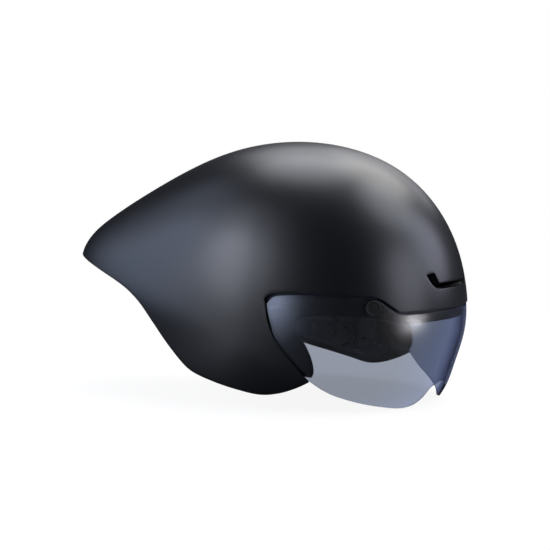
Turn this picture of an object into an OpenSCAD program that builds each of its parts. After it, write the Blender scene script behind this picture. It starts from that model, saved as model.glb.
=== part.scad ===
// Time trial helmet with a magnetic visor, a foam liner and a rack retention cradle.
// +X points forward, +Y to the wearer's left, +Z up.
// The origin is the middle of the head at the brow line.

/* [Head] */
// Length of the head that the helmet fits
head_l = 196; // [190:1:202]
// Breadth of the head
head_w = 156; // [150:1:162]
// Height of the crown above the brow line
head_h = 105; // [100:1:110]
// Thickness of the comfort pads
pad_t = 5; // [4:0.5:6]

/* [Foam] */
// Foam in front of the forehead
foam_front = 20; // [18:0.1:24]
// Foam beside the temples
foam_side = 15; // [13:0.1:18]
// Foam over the crown
foam_top = 27.5; // [24:0.1:32]
// Foam behind the head, down to the nape
foam_rear = 22; // [18:1:26]
// Thickness of the ear flap pads
flap_pad_t = 6.4; // [5:0.2:8]

/* [Shell] */
// Thickness of the outer shell
shell_t = 1.8; // [1.4:0.1:2.4]
// Glue gap between the shell and what it holds
bond = 0.7; // [0.5:0.1:0.8]
// Reach of the tail behind the head
tail_reach = 106; // [90:1:120]

/* [Visor] */
// Thickness of the lens
lens_t = 1.8; // [1.4:0.1:2.2]
// Depth of the lens below the shell's outer face
lens_inset = 1; // [0.6:0.1:1.4]
// Gap between the lens and its seat
seat_gap = 0.5; // [0.4:0.1:1]
// Thickness of the seat
seat_t = 1.6; // [1.2:0.1:2.2]
// Width of the seat's flange under the shell
seat_flange = 5; // [4:0.5:7]
// Diameter of a magnet button
button_d = 11.5; // [10:0.5:13]
// Height of a magnet button
button_h = 2.4; // [2.2:0.1:3]
// Diameter of a magnet
magnet_d = 8; // [6:0.5:9]
// Thickness of a magnet
magnet_h = 1.5; // [1:0.1:1.6]

/* [Retention] */
// Pitch radius of the pinion that draws in the bands
pinion_r = 4; // [3.6:0.2:4.4]
// Teeth on the pinion
pinion_teeth = 10; // [8:1:12]
// Diameter of the dial
dial_d = 27; // [24:1:30]
// Thickness of the dial
dial_t = 7; // [6:0.5:9]
// Scallops round the dial
dial_grips = 20; // [14:1:26]
// Diameter of the dial's shaft
shaft_d = 5; // [4:0.5:5.5]
// Travel of each band
band_travel = 10; // [6:1:12]
// Thickness of a band
band_t = 1.8; // [1.6:0.1:2.4]
// Height of the bands' padded ends
band_h = 16; // [14:1:20]
// Width of the cradle's stem
stem_w = 22; // [18:1:26]
// Length of the rail that the stem slides on
rail_l = 32; // [28:1:36]
// Travel of the cradle up or down from the middle
cradle_travel = 9; // [6:1:10]

/* [Straps] */
// Width of the webbing
strap_w = 15; // [12:1:18]
// Thickness of the webbing
strap_t = 1.4; // [1.2:0.1:1.8]

/* [Hidden] */
$fn = 32;

// Skins between the foam and the outside
skins = shell_t + bond;
front_x = head_l / 2 + pad_t + foam_front + skins;
half_w = head_w / 2 + pad_t + foam_side + skins;
crown_z = head_h + pad_t + foam_top + skins;
half_l = (front_x + head_l / 2 + tail_reach) / 2;

// Side outline: radii round the centre every 15 degrees, as shares of half_l forward and crown_z up
outline_shares = [0.849, 0.868, 0.915, 0.965, 0.995, 1.01, 1, 0.988, 0.98, 1.01, 1.105, 1.262,
  0.985, 0.87, 0.85, 0.845, 0.83, 0.8, 0.745, 0.69, 0.67, 0.735, 0.84, 0.808];
outline_step = 360 / len(outline_shares);
front_share = 0.846;
centre_x = front_x - front_share * half_l;
// Plan: full width ahead of the widest place, tapered behind it
widest_share = 0.106;
taper_run_share = 1.327;
taper_share = 0.38;
// Cross-section: 2 is an ellipse, more is squarer
section_power = 2.64;

// Shell edge round the window: forward share, height share, angle of its hoop on the ridge
window_shares = [[0.725, 0.146, 9.3], [0.69, 0.185, 13], [0.663, 0.213, 16.4],
  [0.633, 0.228, 18.6], [0.594, 0.234, 24.3], [0.507, 0.24, 33], [0.399, 0.246, 45],
  [0.289, 0.247, 59], [0.218, 0.24, 71], [0.183, 0.216, 79], [0.171, 0.18, 85],
  [0.181, 0.101, 93], [0.201, 0.039, 98], [0.226, -0.033, 103], [0.274, -0.107, 108.5],
  [0.335, -0.184, 114], [0.375, -0.22, 118]];
// Shell edge along the flap and the tail, the last value being how far its hoop bows forward
rim_shares = [[0.375, -0.22, 118, 0], [0.313, -0.256, 119.4, 0.023], [0.229, -0.29, 120.6, 0.053],
  [0.137, -0.304, 121.8, 0.089], [0.026, -0.282, 123.1, 0.126], [-0.101, -0.249, 124.8, 0.169],
  [-0.208, -0.216, 126.6, 0.209], [-0.268, -0.181, 129.6, 0.248], [-0.335, -0.121, 132.5, 0.279],
  [-0.398, -0.057, 135.3, 0.285], [-0.475, 0.033, 138.7, 0.239], [-0.557, 0.121, 142.3, 0.168],
  [-0.648, 0.184, 145.8, 0.114], [-0.745, 0.226, 149.4, 0.073], [-0.849, 0.26, 152.9, 0.048],
  [-0.962, 0.295, 156.4, 0.032], [-1.054, 0.321, 159.9, 0.017], [-1.109, 0.336, 163.4, 0]];
// Places across a hoop, from the ridge to the edge
cross_shares = [0, 0.08, 0.16, 0.24, 0.31, 0.4, 0.48, 0.56, 0.63, 0.7, 0.77, 0.84, 0.92, 1];
// The vent slot lies between these hoops and places: a bar with a leg at each end
slot_low = 2;
slot_high = 3;
slot_top = 4;
slot_in = 4;
slot_out = 5;
// The legs lean outwards
slot_lean_share = 0.12;

// Foam edge: inside the window's edge, then over the ear and behind the head
foam_edge_shares = [[0.672, 0.248, 13.5], [0.651, 0.274, 15.9], [0.618, 0.286, 19.2],
  [0.569, 0.294, 24.3], [0.509, 0.296, 30], [0.387, 0.304, 44], [0.266, 0.304, 60],
  [0.169, 0.286, 74], [0.129, 0.236, 83], [0.117, 0.157, 91], [0.102, 0.071, 98],
  [0.047, 0.025, 106], [-0.05, 0.014, 114], [-0.17, 0.021, 122], [-0.255, 0.09, 130],
  [-0.341, 0.164, 139], [-0.438, 0.193, 148], [-0.523, 0.214, 155], [-0.596, 0.243, 161],
  [-0.665, 0.264, 168.5]];
foam_cross_shares = [0, 0.12, 0.24, 0.34, 0.46, 0.6, 0.73, 0.87, 1];
// The vent passes through the foam between these hoops and places
foam_slot = 1;
foam_slot_out = 4;
foam_wall_x = -(head_l / 2 + pad_t + foam_rear);

// Eye opening's edge, beside the shell's edge from the middle of the brow to the flap's corner
seat_out_shares = [[0.846, 0.138], [0.803, 0.142], [0.725, 0.146], [0.69, 0.185],
  [0.65, 0.221], [0.594, 0.234], [0.507, 0.24], [0.399, 0.246], [0.289, 0.247],
  [0.218, 0.24], [0.183, 0.216], [0.171, 0.18], [0.181, 0.101], [0.201, 0.039],
  [0.226, -0.033], [0.274, -0.107], [0.332, -0.18], [0.345, -0.196]];
seat_in_shares = [[0.846, 0.082], [0.797, 0.081], [0.727, 0.096], [0.672, 0.116],
  [0.635, 0.122], [0.59, 0.127], [0.515, 0.131], [0.428, 0.133], [0.375, 0.125],
  [0.346, 0.108], [0.335, 0.09], [0.333, 0.068], [0.338, 0.045], [0.354, 0.004],
  [0.379, -0.055], [0.394, -0.107], [0.4, -0.17], [0.388, -0.203]];

// Lens edges, from the middle outwards, then down behind
lens_top_shares = [[0.86, 0.133], [0.834, 0.132], [0.798, 0.131], [0.727, 0.135],
  [0.688, 0.173], [0.646, 0.213], [0.545, 0.228], [0.424, 0.235], [0.302, 0.236],
  [0.223, 0.226], [0.189, 0.186]];
lens_low_shares = [[0.78, -0.267], [0.762, -0.293], [0.734, -0.346], [0.703, -0.381],
  [0.67, -0.39], [0.621, -0.371], [0.563, -0.346], [0.512, -0.321], [0.463, -0.294],
  [0.424, -0.264], [0.384, -0.226]];
lens_back_shares = [[0.189, 0.186], [0.192, 0.143], [0.207, 0.079], [0.226, 0.007],
  [0.256, -0.061], [0.296, -0.123], [0.341, -0.178], [0.384, -0.226]];
lens_cols = 26;
lens_rows = 13;
button_shares = [0.636, 0.169];

// Places of the flap pads: lower and upper edge, from back to front
flap_low_shares = [[-0.28, -0.121], [-0.22, -0.179], [-0.098, -0.218], [0.023, -0.246],
  [0.132, -0.271], [0.211, -0.264], [0.266, -0.236]];
flap_high_shares = [[-0.232, -0.043], [-0.171, -0.039], [-0.08, -0.036], [0.005, -0.036],
  [0.084, -0.036], [0.138, -0.036], [0.181, -0.079]];

// Straps: they lie on the foam's inner face down to its edge, then reach the flap pad
front_strap_shares = [[0.035, 0.135], [0.03, 0.071], [0.03, 0], [0.032, -0.07], [0.035, -0.125]];
rear_strap_shares = [[-0.232, 0.165], [-0.228, 0.1], [-0.19, 0.03], [-0.11, -0.06], [-0.065, -0.105]];
chin_strap_shares = [[0.07, -0.195], [0.14, -0.195], [0.2, -0.15]];
strap_edge_share = -0.09;
strap_run_share = 0.08;
divider_shares = [0.03, -0.175];
buckle_shares = [0.2, -0.09];

// Small sizes of the fittings
cut = 1;
fit = 0.1;
radian = 180 / PI;
pad_edge = pad_t / 4;
pad_gap = 0.9;
flap_pad_gap = 0.9;
tray_gap = 0.5;
channel_depth = 0.3;
brow_reach = 3;
brow_cols = 2;
tray_start = lookup((centre_x - foam_wall_x + 3 * bond) / half_l,
  [for (i = [5:len(rim_shares) - 1]) [-rim_shares[i][0], i]]);
tray_rows = 9;
tray_cols = 4;
tray_rise = 3;
tray_arch = 2;
tray_t = 1.6;
bead_first_row = 1;
bead_w = 3.2;
bead_t = 2.2;
crown_pad_w = 20;
crown_pad_gap = 34;
crown_pad_back = -45;
crown_pad_front = 66;
button_round = 0.6;
magnet_seat = 0.25;
anchor_d = 13;
anchor_t = 2;
divider_d = 22;
divider_t = 2.4;
divider_gap = 0.9;
buckle_l = 26;
buckle_w = 16;
buckle_t = 6;
buckle_gap = 1.5;
strap_gap = 0.3;
anchor_gap = 0.5;
// Depth of the flap pads' inner face, where the straps hang, then of the divider and the buckle
flap_in = shell_t + flap_pad_gap + flap_pad_t + strap_gap;
divider_depth = flap_in + 2 * strap_t + divider_gap + divider_t;
buckle_depth = flap_in + 2 * strap_t + buckle_gap + buckle_t;

// Cradle frame: X into the head, Z along the rail, from the rail's foot
rail_z = 20;
function foam_back(z) = -(head_l / 2 + pad_t) * sqrt(1 - pow(z / (head_h + pad_t), 2));
rail_x = foam_back(rail_z);
rail_rise_share = 0.9781;
rail_rise = rail_l * rail_rise_share;
rail_tilt = atan2(foam_back(rail_z + rail_rise) - rail_x, rail_rise);
rail_back = 0.7;
rail_t = 1.7;
rail_w = 18;
stem_t = 1.4;
stem_spare = 3;
stem_z = -cradle_travel - stem_spare;
stem_top = rail_l + stem_z;
rack_hold = 13;
housing_w = 2 * (band_travel + rack_hold);
housing_h = 30;
housing_z = -26.8;
wall = 2;
cover_x = 1.4;
tray_x = 3.6;
floor_x = 7;
tray_front = floor_x + wall;
rack_x = 3.9;
rack_depth = 2.8;
gear_module = 2 * pinion_r / pinion_teeth;
tooth_pitch = PI * gear_module;
tooth_half = 0.18 * tooth_pitch;
tooth_tip = 0.1 * tooth_pitch;
tooth_root = 0.26 * tooth_pitch;
rack_bar = 3;
rack_z = pinion_r + 1.25 * gear_module;
rack_start = 1.6 * tooth_pitch;
rack_teeth = ceil(band_travel / tooth_pitch) + 1;
arm_run = 40;
arm_flare = 24;
screw_r = 1;
screw_y = housing_w / 2 - 3.6;
screw_z = housing_h / 2 - 3.2;
core_r = 1.6;
core_flat = 1.1;
band_pad_t = 2.6;
// Middle line of a band's arm in plan: straight beside the rack, then round the head, as shares of
// head_l forward and head_w sideways
rack_end_shares = [0.128, 0.18];
arm_shares = [[0.0286, 0.224], [0.0459, 0.2596], [0.0867, 0.3013], [0.1429, 0.3474],
  [0.1939, 0.3833], [0.2449, 0.4135], [0.2959, 0.4385]];
arm_rows = concat([for (s = rack_end_shares) [rack_x + rack_depth / 2, s * head_w]],
  [for (s = arm_shares) [s[0] * head_l, s[1] * head_w]]);
arm_pad_row = 4.2;
arm_rise = 8;
arm_inset = 6;

function smooth(t) = let (c = max(0, min(1, t))) c * c * (3 - 2 * c);
function mix(a, b, t) = a + (b - a) * t;

// Point at place u along a table, on a smooth curve through its rows
function along(rows, u) =
  let (n = len(rows) - 1, i = min(floor(u), n - 1), f = u - i,
    p = rows[max(i - 1, 0)], q = rows[i], r = rows[i + 1], s = rows[min(i + 2, n)])
  (2 * q + (r - p) * f + (2 * p - 5 * q + 4 * r - s) * f * f
    + (3 * q - p - 3 * r + s) * f * f * f) / 2;

// Outline radius share at an angle, a closed cubic spline of the table
function rho(a) =
  let (w = (((a % 360) + 360) % 360) / outline_step, i = floor(w), f = w - i,
    n = len(outline_shares), s = [for (k = [0:3]) outline_shares[(i + k - 1 + n) % n]])
  (pow(1 - f, 3) * s[0] + (3 * f * f * f - 6 * f * f + 4) * s[1]
    + (3 * f + 3 * f * f - 3 * f * f * f + 1) * s[2] + f * f * f * s[3]) / 6;
function reach(a) = rho(a) * norm([half_l * cos(a), crown_z * sin(a)]);
function plan_half(x) =
  half_w * (1 - taper_share * smooth((centre_x + widest_share * half_l - x) / (taper_run_share * half_l)));

// A place on the body is [g, a]: a is the angle in the side view, g runs from 0 at the flank's
// middle to 1 on the ridge. skin gives its point at depth d below the outside.
function skin(p, d, side) =
  let (r = sin(90 * p[0]), k = r * rho(p[1]) * (1 - d / reach(p[1])),
    x = centre_x + half_l * k * cos(p[1]))
  [x, side * (plan_half(x) - d) * sqrt(max(0, 1 - pow(r, section_power))), crown_z * k * sin(p[1])];
function place(s) =
  let (a = atan2(s[1], s[0])) [asin(min(1, norm([s[0], s[1]]) / rho(a))) / 90, a];
function from_ridge(rows) = [for (i = [0:len(rows) - 1]) let (p = place(rows[i])) [i == 0 ? 1 : p[0], p[1]]];
function flat(p) = p[0] * [cos(p[1]), sin(p[1])];
function polar(q) = [norm(q), atan2(q[1], q[0])];

// Closed solid between two grids of points. Cells where open(i, j) is true are left out.
// Cells split along the other diagonal in one half of the grid, so both sides match.
module sheet(outer, inner, open = function(i, j) false, by_row = false) {
  rows = len(outer) - 1;
  cols = len(outer[0]) - 1;
  n = (rows + 1) * (cols + 1);
  function id(i, j) = i * (cols + 1) + j;
  function gone(i, j) = i < 0 || j < 0 || i >= rows || j >= cols || open(i, j);
  function wall(p, q) = [[q, p, p + n], [q, p + n, q + n]];
  polyhedron(
    points = concat([for (r = outer) each r], [for (r = inner) each r]),
    faces = [for (i = [0:rows - 1], j = [0:cols - 1]) if (!gone(i, j))
      let (a = id(i, j), b = id(i + 1, j), c = id(i + 1, j + 1), d = id(i, j + 1),
        near = by_row ? 2 * i < rows : 2 * j < cols)
      each concat(
        near ? [[a, b, d], [b, c, d], [a + n, d + n, b + n], [b + n, d + n, c + n]]
          : [[a, b, c], [a, c, d], [a + n, c + n, b + n], [a + n, d + n, c + n]],
        gone(i, j - 1) ? wall(a, b) : [], gone(i + 1, j) ? wall(b, c) : [],
        gone(i, j + 1) ? wall(c, d) : [], gone(i - 1, j) ? wall(d, a) : [])],
    convexity = 8);
}

// Hoops from the ridge down to an edge table, on both sides of the middle
function half_hoop(row, shares) =
  let (top = flat([1, row[2]]), foot = flat(place(row)), v = foot - top,
    bow = len(row) > 3 ? row[3] * [-v[1], v[0]] / norm(v) : [0, 0])
  [for (t = shares) polar(mix(top, foot, t) + 2 * t * (1 - t) * bow)];
function hoop(row, shares) =
  let (h = half_hoop(row, shares), n = len(shares) - 1)
  concat([for (j = [n:-1:1]) [h[j], -1]], [for (j = [0:n]) [h[j], 1]]);
function hoop_skin(hoops, d) = [for (h = hoops) [for (p = h) skin(p[0], d, p[1])]];

// Steps between rows: two where hoops are far apart
function steps(rows, first, last, count) =
  [for (k = [0:len(rows) - 2]) let (m = (k >= first && k <= last) ? count : 1)
    for (s = [0:m - 1]) k + s / m];
window_steps = steps(window_shares, 4, 15, 2);
rim_steps = concat(steps(rim_shares, 20, 20, 1), [len(rim_shares) - 1]);
function lean(u) = 4 * slot_lean_share * smooth(u - slot_high) * smooth(2 - u / slot_top);
shell_hoops = concat(
  [for (u = window_steps) hoop(along(window_shares, u), [for (t = cross_shares) t + lean(u) * t * (1 - t)])],
  [for (u = rim_steps) hoop(along(rim_shares, u), cross_shares)]);

module outer_shell() {
  n = len(cross_shares) - 1;
  color("#2b2d33") sheet(hoop_skin(shell_hoops, 0), hoop_skin(shell_hoops, shell_t),
    function(i, j) let (c = j < n ? n - 1 - j : j - n)
      (i >= slot_low && i < slot_high && c < slot_out)
      || (i >= slot_high && i < slot_top && c >= slot_in && c < slot_out));
}

// Grid of the seat: from the flange under the shell to the edge of the eye opening
seat_cols = [-1, 0, 0.35, 0.7, 1];
seat_out = from_ridge(seat_out_shares);
seat_in = from_ridge(seat_in_shares);
seat_steps = concat(steps(seat_out, 0, 1, 3), [len(seat_out) - 1]);
function seat_row(u) =
  let (o = along(seat_out, u), i = along(seat_in, u), back = seat_flange / norm(skin(o, 0, 1) - skin(i, 0, 1)))
  [for (c = seat_cols) mix(o, i, c < 0 ? -back : c)];
function seat_depth(k) = k == 0 ? shell_t + 1.2 * bond : lens_inset + lens_t + seat_gap;
function seat_grid(extra) =
  let (n = len(seat_steps) - 1, rows = [for (u = seat_steps) seat_row(u)])
  concat(
    [for (i = [n:-1:1]) [for (k = [0:len(seat_cols) - 1])
      skin([min(1, rows[i][k][0]), rows[i][k][1]], seat_depth(k) + extra, -1)]],
    [for (i = [0:n]) [for (k = [0:len(seat_cols) - 1])
      skin([min(1, rows[i][k][0]), rows[i][k][1]], seat_depth(k) + extra, 1)]]);

module visor_seat() {
  color("#17181b") sheet(seat_grid(seat_t), seat_grid(0), by_row = true);
}

// Point on the head's surface, off outside it, in line with p; below the brow line it stays upright
function head_in_line(p, off) =
  let (a = head_l / 2 + off, b = head_w / 2 + off, c = head_h + off,
    k = 1 / norm([p[0] / a, p[1] / b, max(0, p[2]) / c]))
  [p[0] * k, p[1] * k, p[2] > 0 ? p[2] * k : p[2]];
function clamp_back(p, x) = [max(p[0], x), p[1], p[2]];

foam_steps = concat(steps(foam_edge_shares, 4, 9, 2), [len(foam_edge_shares) - 1]);
foam_hoops = [for (u = foam_steps) hoop(along(foam_edge_shares, u), foam_cross_shares)];
foam_outer = [for (r = hoop_skin(foam_hoops, skins)) [for (p = r) clamp_back(p, foam_wall_x)]];
foam_inner = [for (r = foam_outer) [for (p = r) head_in_line(p, pad_t)]];

module foam_liner() {
  n = len(foam_cross_shares) - 1;
  color("#222427") sheet(foam_outer, foam_inner,
    function(i, j) let (c = j < n ? n - 1 - j : j - n)
      (i == foam_slot && c < foam_slot_out) || (i == foam_slot + 1 && c == foam_slot_out - 1));
}

// Foam behind the seat's brow band, below the liner
brow_rows = 8;
function brow_row(t) =
  let (top = flat([1, foam_edge_shares[0][2]]), foot = flat(place(foam_edge_shares[0])),
    high = polar(mix(top, foot, t)), low = along(seat_in, t * brow_reach),
    rise = bond / reach(high[1]) * radian)
  [[low[0], low[1] + rise], [high[0], high[1] - rise]];
function brow_grid(depth) =
  [for (k = [-brow_rows:brow_rows]) let (r = brow_row(abs(k) / brow_rows))
    [for (c = [0:brow_cols]) skin(mix(r[0], r[1], c / brow_cols), depth, k < 0 ? -1 : 1)]];
module brow_foam() {
  outer = brow_grid(lens_inset + lens_t + seat_gap + seat_t + bond);
  inner = [for (r = outer) [for (p = r) head_in_line(p, pad_t)]];
  color("#26282b") sheet(inner, outer, by_row = true);
}

// Panel that closes the tail from below, with exhaust slots
function tray_row(u, cols) =
  let (p = skin(place(along(rim_shares, u)), skins + tray_gap, 1))
  [for (k = [-cols:cols]) let (s = k / cols)
    [p[0], s * p[1], p[2] + tray_rise + tray_arch * (1 - s * s)]];
module tail_undertray() {
  top = [for (i = [0:tray_rows]) tray_row(mix(tray_start, len(rim_shares) - 1, i / tray_rows), tray_cols)];
  low = [for (r = top) [for (p = r) p - [0, 0, tray_t]]];
  color("#1b1c1f") sheet(top, low,
    function(i, j) i % 2 == 1 && i < tray_rows - 1 && abs(j - tray_cols + 0.5) < tray_cols - 2);
}

// Soft bead inside the shell's lower edge, on both sides
function bead_grid(d) =
  [for (u = [bead_first_row:0.5:tray_start]) let (row = along(rim_shares, u),
      foot = flat(place(row)), top = flat([1, row[2]]),
      len_mm = norm(skin(polar(foot), 0, 1) - skin(polar(mix(foot, top, 0.1)), 0, 1)) * 10)
    [for (p = half_hoop(row, [1, 1 - bead_w / len_mm])) skin(p, d, 1)]];
module rim_bead() {
  color("#101113") for (m = [0, 1]) mirror([0, m, 0])
    sheet(bead_grid(shell_t + bond + bead_t), bead_grid(shell_t + bond));
}

// Crown of a cushion at s, q from -1 to 1, with sewn channels across its length
function crown(s, q, channels) =
  (1 - pow(s, 4)) * (1 - pow(q, 4)) * (1 - channel_depth * pow(abs(cos(90 * channels * (s + 1))), 6));
// Point on the head, off outside it, by bearing and height angles
function head_at(az, el, off) =
  [(head_l / 2 + off) * cos(el) * cos(az), (head_w / 2 + off) * cos(el) * sin(az), (head_h + off) * sin(el)];
module head_pad(az, el, n, m, channels) {
  function grid(inner) = [for (i = [-n:n]) [for (j = [-m:m])
    head_at(mix(az[0], az[1], (i + n) / (2 * n)), mix(el[0], el[1], (j + m) / (2 * m)),
      pad_t - pad_gap - (inner ? pad_edge + (pad_t - pad_gap - pad_edge) * crown(i / n, j / m, channels) : 0))]];
  color("#1c1d20") sheet(grid(true), grid(false));
}
module brow_pad() head_pad([-46, 46], [8, 14.5], 12, 3, 7);
module side_pad_right() head_pad([-126, -86], [14, 26], 6, 3, 3);
module side_pad_left() mirror([0, 1, 0]) side_pad_right();

// Lengthwise pads under the crown
function head_top(x, y, off) =
  [x, y, (head_h + off) * sqrt(1 - pow(x / (head_l / 2 + off), 2) - pow(y / (head_w / 2 + off), 2))];
module crown_pads() {
  n = 8;
  m = 2;
  half = crown_pad_w / 2;
  function grid(y, inner) = [for (i = [-n:n]) [for (j = [-m:m])
    head_top(mix(crown_pad_back, crown_pad_front, (i + n) / (2 * n)), y + half * j / m,
      pad_t - pad_gap - (inner ? pad_edge + (pad_t - pad_gap - pad_edge) * crown(i / n, j / m, 5) : 0))]];
  color("#1c1d20") for (k = [-1:1]) sheet(grid(k * crown_pad_gap, true), grid(k * crown_pad_gap, false));
}

module flap_pad_right() {
  n = 9;
  m = 3;
  function grid(inner) = [for (i = [-n:n]) let (u = (i + n) / (2 * n) * (len(flap_low_shares) - 1),
      low = flat(place(along(flap_low_shares, u))), high = flat(place(along(flap_high_shares, u))))
    [for (j = [-m:m]) skin(polar(mix(low, high, (j + m) / (2 * m))),
      shell_t + flap_pad_gap + (inner ? pad_edge + (flap_pad_t - pad_edge) * crown(i / n, j / m, 4) : 0), -1)]];
  color("#1c1d20") sheet(grid(false), grid(true));
}
module flap_pad_left() mirror([0, 1, 0]) flap_pad_right();

// Grid of the lens: s from the middle to the back, v from the top down
lens_top = from_ridge(lens_top_shares);
lens_low = from_ridge(lens_low_shares);
lens_back = [for (r = lens_back_shares) place(r)];
function lens_place(s, v) =
  let (n = len(lens_top) - 1)
  mix(along(lens_top, s * n), along(lens_low, s * n), v)
    + s * s * (along(lens_back, v * (len(lens_back) - 1)) - mix(lens_top[n], lens_low[n], v));
function lens_grid(d) =
  [for (i = [0:lens_rows]) [for (k = [-lens_cols:lens_cols])
    let (p = lens_place(abs(k) / lens_cols, i / lens_rows))
    skin([min(1, p[0]), p[1]], d, k < 0 ? -1 : 1)]];
module visor_lens() {
  color([0.35, 0.38, 0.45, 0.6]) sheet(lens_grid(lens_inset + lens_t), lens_grid(lens_inset));
}

// Sets a child's Z axis along n at p
module aim(p, n) translate(p) rotate([0, acos(n[2] / norm(n)), atan2(n[1], n[0])]) children();
function skin_normal(p, side) =
  let (e = 0.01, f = 1, a = skin(p + [e, 0], 0, side) - skin(p - [e, 0], 0, side),
    b = skin(p + [0, f], 0, side) - skin(p - [0, f], 0, side), n = cross(a, b))
  n * (n[1] * side > 0 ? 1 : -1);
module on_skin(share, d, side) {
  p = place(share);
  aim(skin(p, d, side), skin_normal(p, side)) children();
}

// Button on the lens, hollow underneath for its magnet
module button() {
  color("#3a3c3e") on_skin(button_shares, lens_inset - fit, -1) rotate_extrude() polygon([
    [magnet_d / 2 + fit, 0], [button_d / 2, 0], [button_d / 2, button_h - button_round],
    [button_d / 2 - button_round, button_h], [0, button_h], [0, magnet_h + 2 * fit],
    [magnet_d / 2 + fit, magnet_h + 2 * fit]]);
}
module button_right() button();
module button_left() mirror([0, 1, 0]) button();
module lens_magnets() color("#b8bcc0") for (m = [0, 1]) mirror([0, m, 0])
  on_skin(button_shares, lens_inset - 2 * fit, -1) cylinder(d = magnet_d, h = magnet_h);
module seat_magnets() color("#b8bcc0") for (m = [0, 1]) mirror([0, m, 0])
  on_skin(button_shares, lens_inset + lens_t + seat_gap + seat_t + magnet_h + magnet_seat, -1)
    cylinder(d = magnet_d, h = magnet_h);

// Point of a strap at depth d into the helmet, on the right side
function strap_point(s, d) =
  let (p = place(s), hug = smooth((s[1] - strap_edge_share) / strap_run_share))
  mix(skin(p, flap_in + d, -1), head_in_line(skin(p, skins, -1), pad_t - pad_gap - d), hug);
// Webbing along a path of strap rows
module webbing(path, w, t) {
  n = 3 * (len(path) - 1);
  function across(u) =
    let (a = along(path, max(0, u - 0.1)), b = along(path, min(len(path) - 1, u + 0.1)),
      v = [(b[0] - a[0]) * half_l, (b[1] - a[1]) * crown_z]) [-v[1], v[0]] / norm(v);
  function edge(u, k) = let (r = along(path, u), c = across(u) * k * w / 2)
    [r[0] + c[0] / half_l, r[1] + c[1] / crown_z];
  function grid(d) = [for (i = [0:n]) let (u = i / 3)
    [for (k = [-1:1]) strap_point(edge(u, k), d)]];
  color("#15161a") sheet(grid(0), grid(t));
}
module front_strap_right() webbing(front_strap_shares, strap_w, strap_t);
module front_strap_left() mirror([0, 1, 0]) front_strap_right();
module rear_strap_right() webbing(rear_strap_shares, strap_w, strap_t);
module rear_strap_left() mirror([0, 1, 0]) rear_strap_right();
module chin_strap_right() webbing(chin_strap_shares, strap_w, 2 * strap_t);
module chin_strap_left() mirror([0, 1, 0]) chin_strap_right();

// Stud that holds a strap's end on the foam's inner face
module anchor(share) {
  p = strap_point(share, strap_t);
  a = head_l / 2 + pad_t;
  b = head_w / 2 + pad_t;
  c = head_h + pad_t;
  n = -[p[0] / (a * a), p[1] / (b * b), p[2] / (c * c)];
  aim(p + n / norm(n) * anchor_gap, n)
    rotate_extrude() polygon([[0, 0], [anchor_d / 2, 0], [anchor_d / 2, anchor_t / 2],
      [anchor_d / 3, anchor_t], [0, anchor_t]]);
}
module strap_anchors() color("#0f1012") for (m = [0, 1]) mirror([0, m, 0])
  for (s = [front_strap_shares[1], rear_strap_shares[1]]) anchor(s);

// Slider that joins the straps below the ear
module divider() {
  color("#0f1012") on_skin(divider_shares, divider_depth, -1) difference() {
    cylinder(d = divider_d, h = divider_t);
    for (a = [20, 140, 260]) rotate(a) translate([divider_d / 4, -strap_w / 4, -cut])
      cube([strap_t * 2, strap_w / 2, divider_t + 2 * cut]);
  }
}
module strap_divider_right() divider();
module strap_divider_left() mirror([0, 1, 0]) divider();

// Buckle halves, stowed on the ends of the chin straps; X runs down, Y forward
module block(l, w, t, r) translate([0, 0, t / 2]) linear_extrude(t, center = true)
  offset(r = r) square([l - 2 * r, w - 2 * r], center = true);
module buckle_socket() color("#0f1012") mirror([0, 1, 0]) on_skin(buckle_shares, buckle_depth, -1)
  difference() {
    block(buckle_l, buckle_w, buckle_t, 3);
    translate([-buckle_l / 2 - cut, -buckle_w / 3, buckle_t / 4])
      cube([buckle_l * 0.65, buckle_w / 1.5, buckle_t / 2]);
    for (k = [-1, 1]) translate([-buckle_l / 6, k * buckle_w / 2, buckle_t / 4])
      translate([0, -buckle_w / 5, 0]) cube([buckle_l / 4, buckle_w / 2.5, buckle_t / 2]);
    translate([buckle_l / 2 - 4, -buckle_w / 2 + 3, -cut])
      cube([strap_t + 1, buckle_w - 6, buckle_t + 2 * cut]);
  }
module buckle_plug() color("#0f1012") on_skin(buckle_shares, buckle_depth, -1) {
  difference() {
    translate([buckle_l / 4, 0, 0]) block(buckle_l / 2, buckle_w, buckle_t, 2.5);
    translate([buckle_l / 2 - 4, -buckle_w / 2 + 3, -cut])
      cube([strap_t + 1, buckle_w - 6, buckle_t + 2 * cut]);
  }
  translate([0, 0, buckle_t / 4]) linear_extrude(buckle_t / 2) for (k = [-1, 1]) polygon([
    for (q = [[2, 1], [2, 4], [-9, 4.4], [-10, 5.8], [-13, 5.8], [-15, 4], [-15, 3], [-8, 2.6], [-2, 1]])
      [q[0], k * q[1]]]);
}

module in_cradle() translate([rail_x, 0, rail_z]) rotate([0, rail_tilt, 0]) children();
// Flat shape in the cradle's Y and Z, thickened along X
module plate_x(x, t) translate([x, 0, 0]) rotate([90, 0, 90]) linear_extrude(t) children();

// T rail on the foam behind the head, with grooves that the stem clicks into
module height_rail() color("#141517") in_cradle() difference() {
  linear_extrude(rail_l) polygon([for (k = [-1, 1], q = k < 0
    ? [[0, 3], [0.8, 3], [0.8, 0], [rail_t, 0]] : [[rail_t, 0], [0.8, 0], [0.8, 3], [0, 3]])
    [rail_back + q[0], k * (rail_w / 2 - q[1])]]);
  for (z = [4:3:rail_l - 3]) translate([rail_back + rail_t + 0.2, -rail_w / 4, z])
    rotate([-90, 0, 0]) cylinder(r = 0.6, h = rail_w / 2);
}

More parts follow.
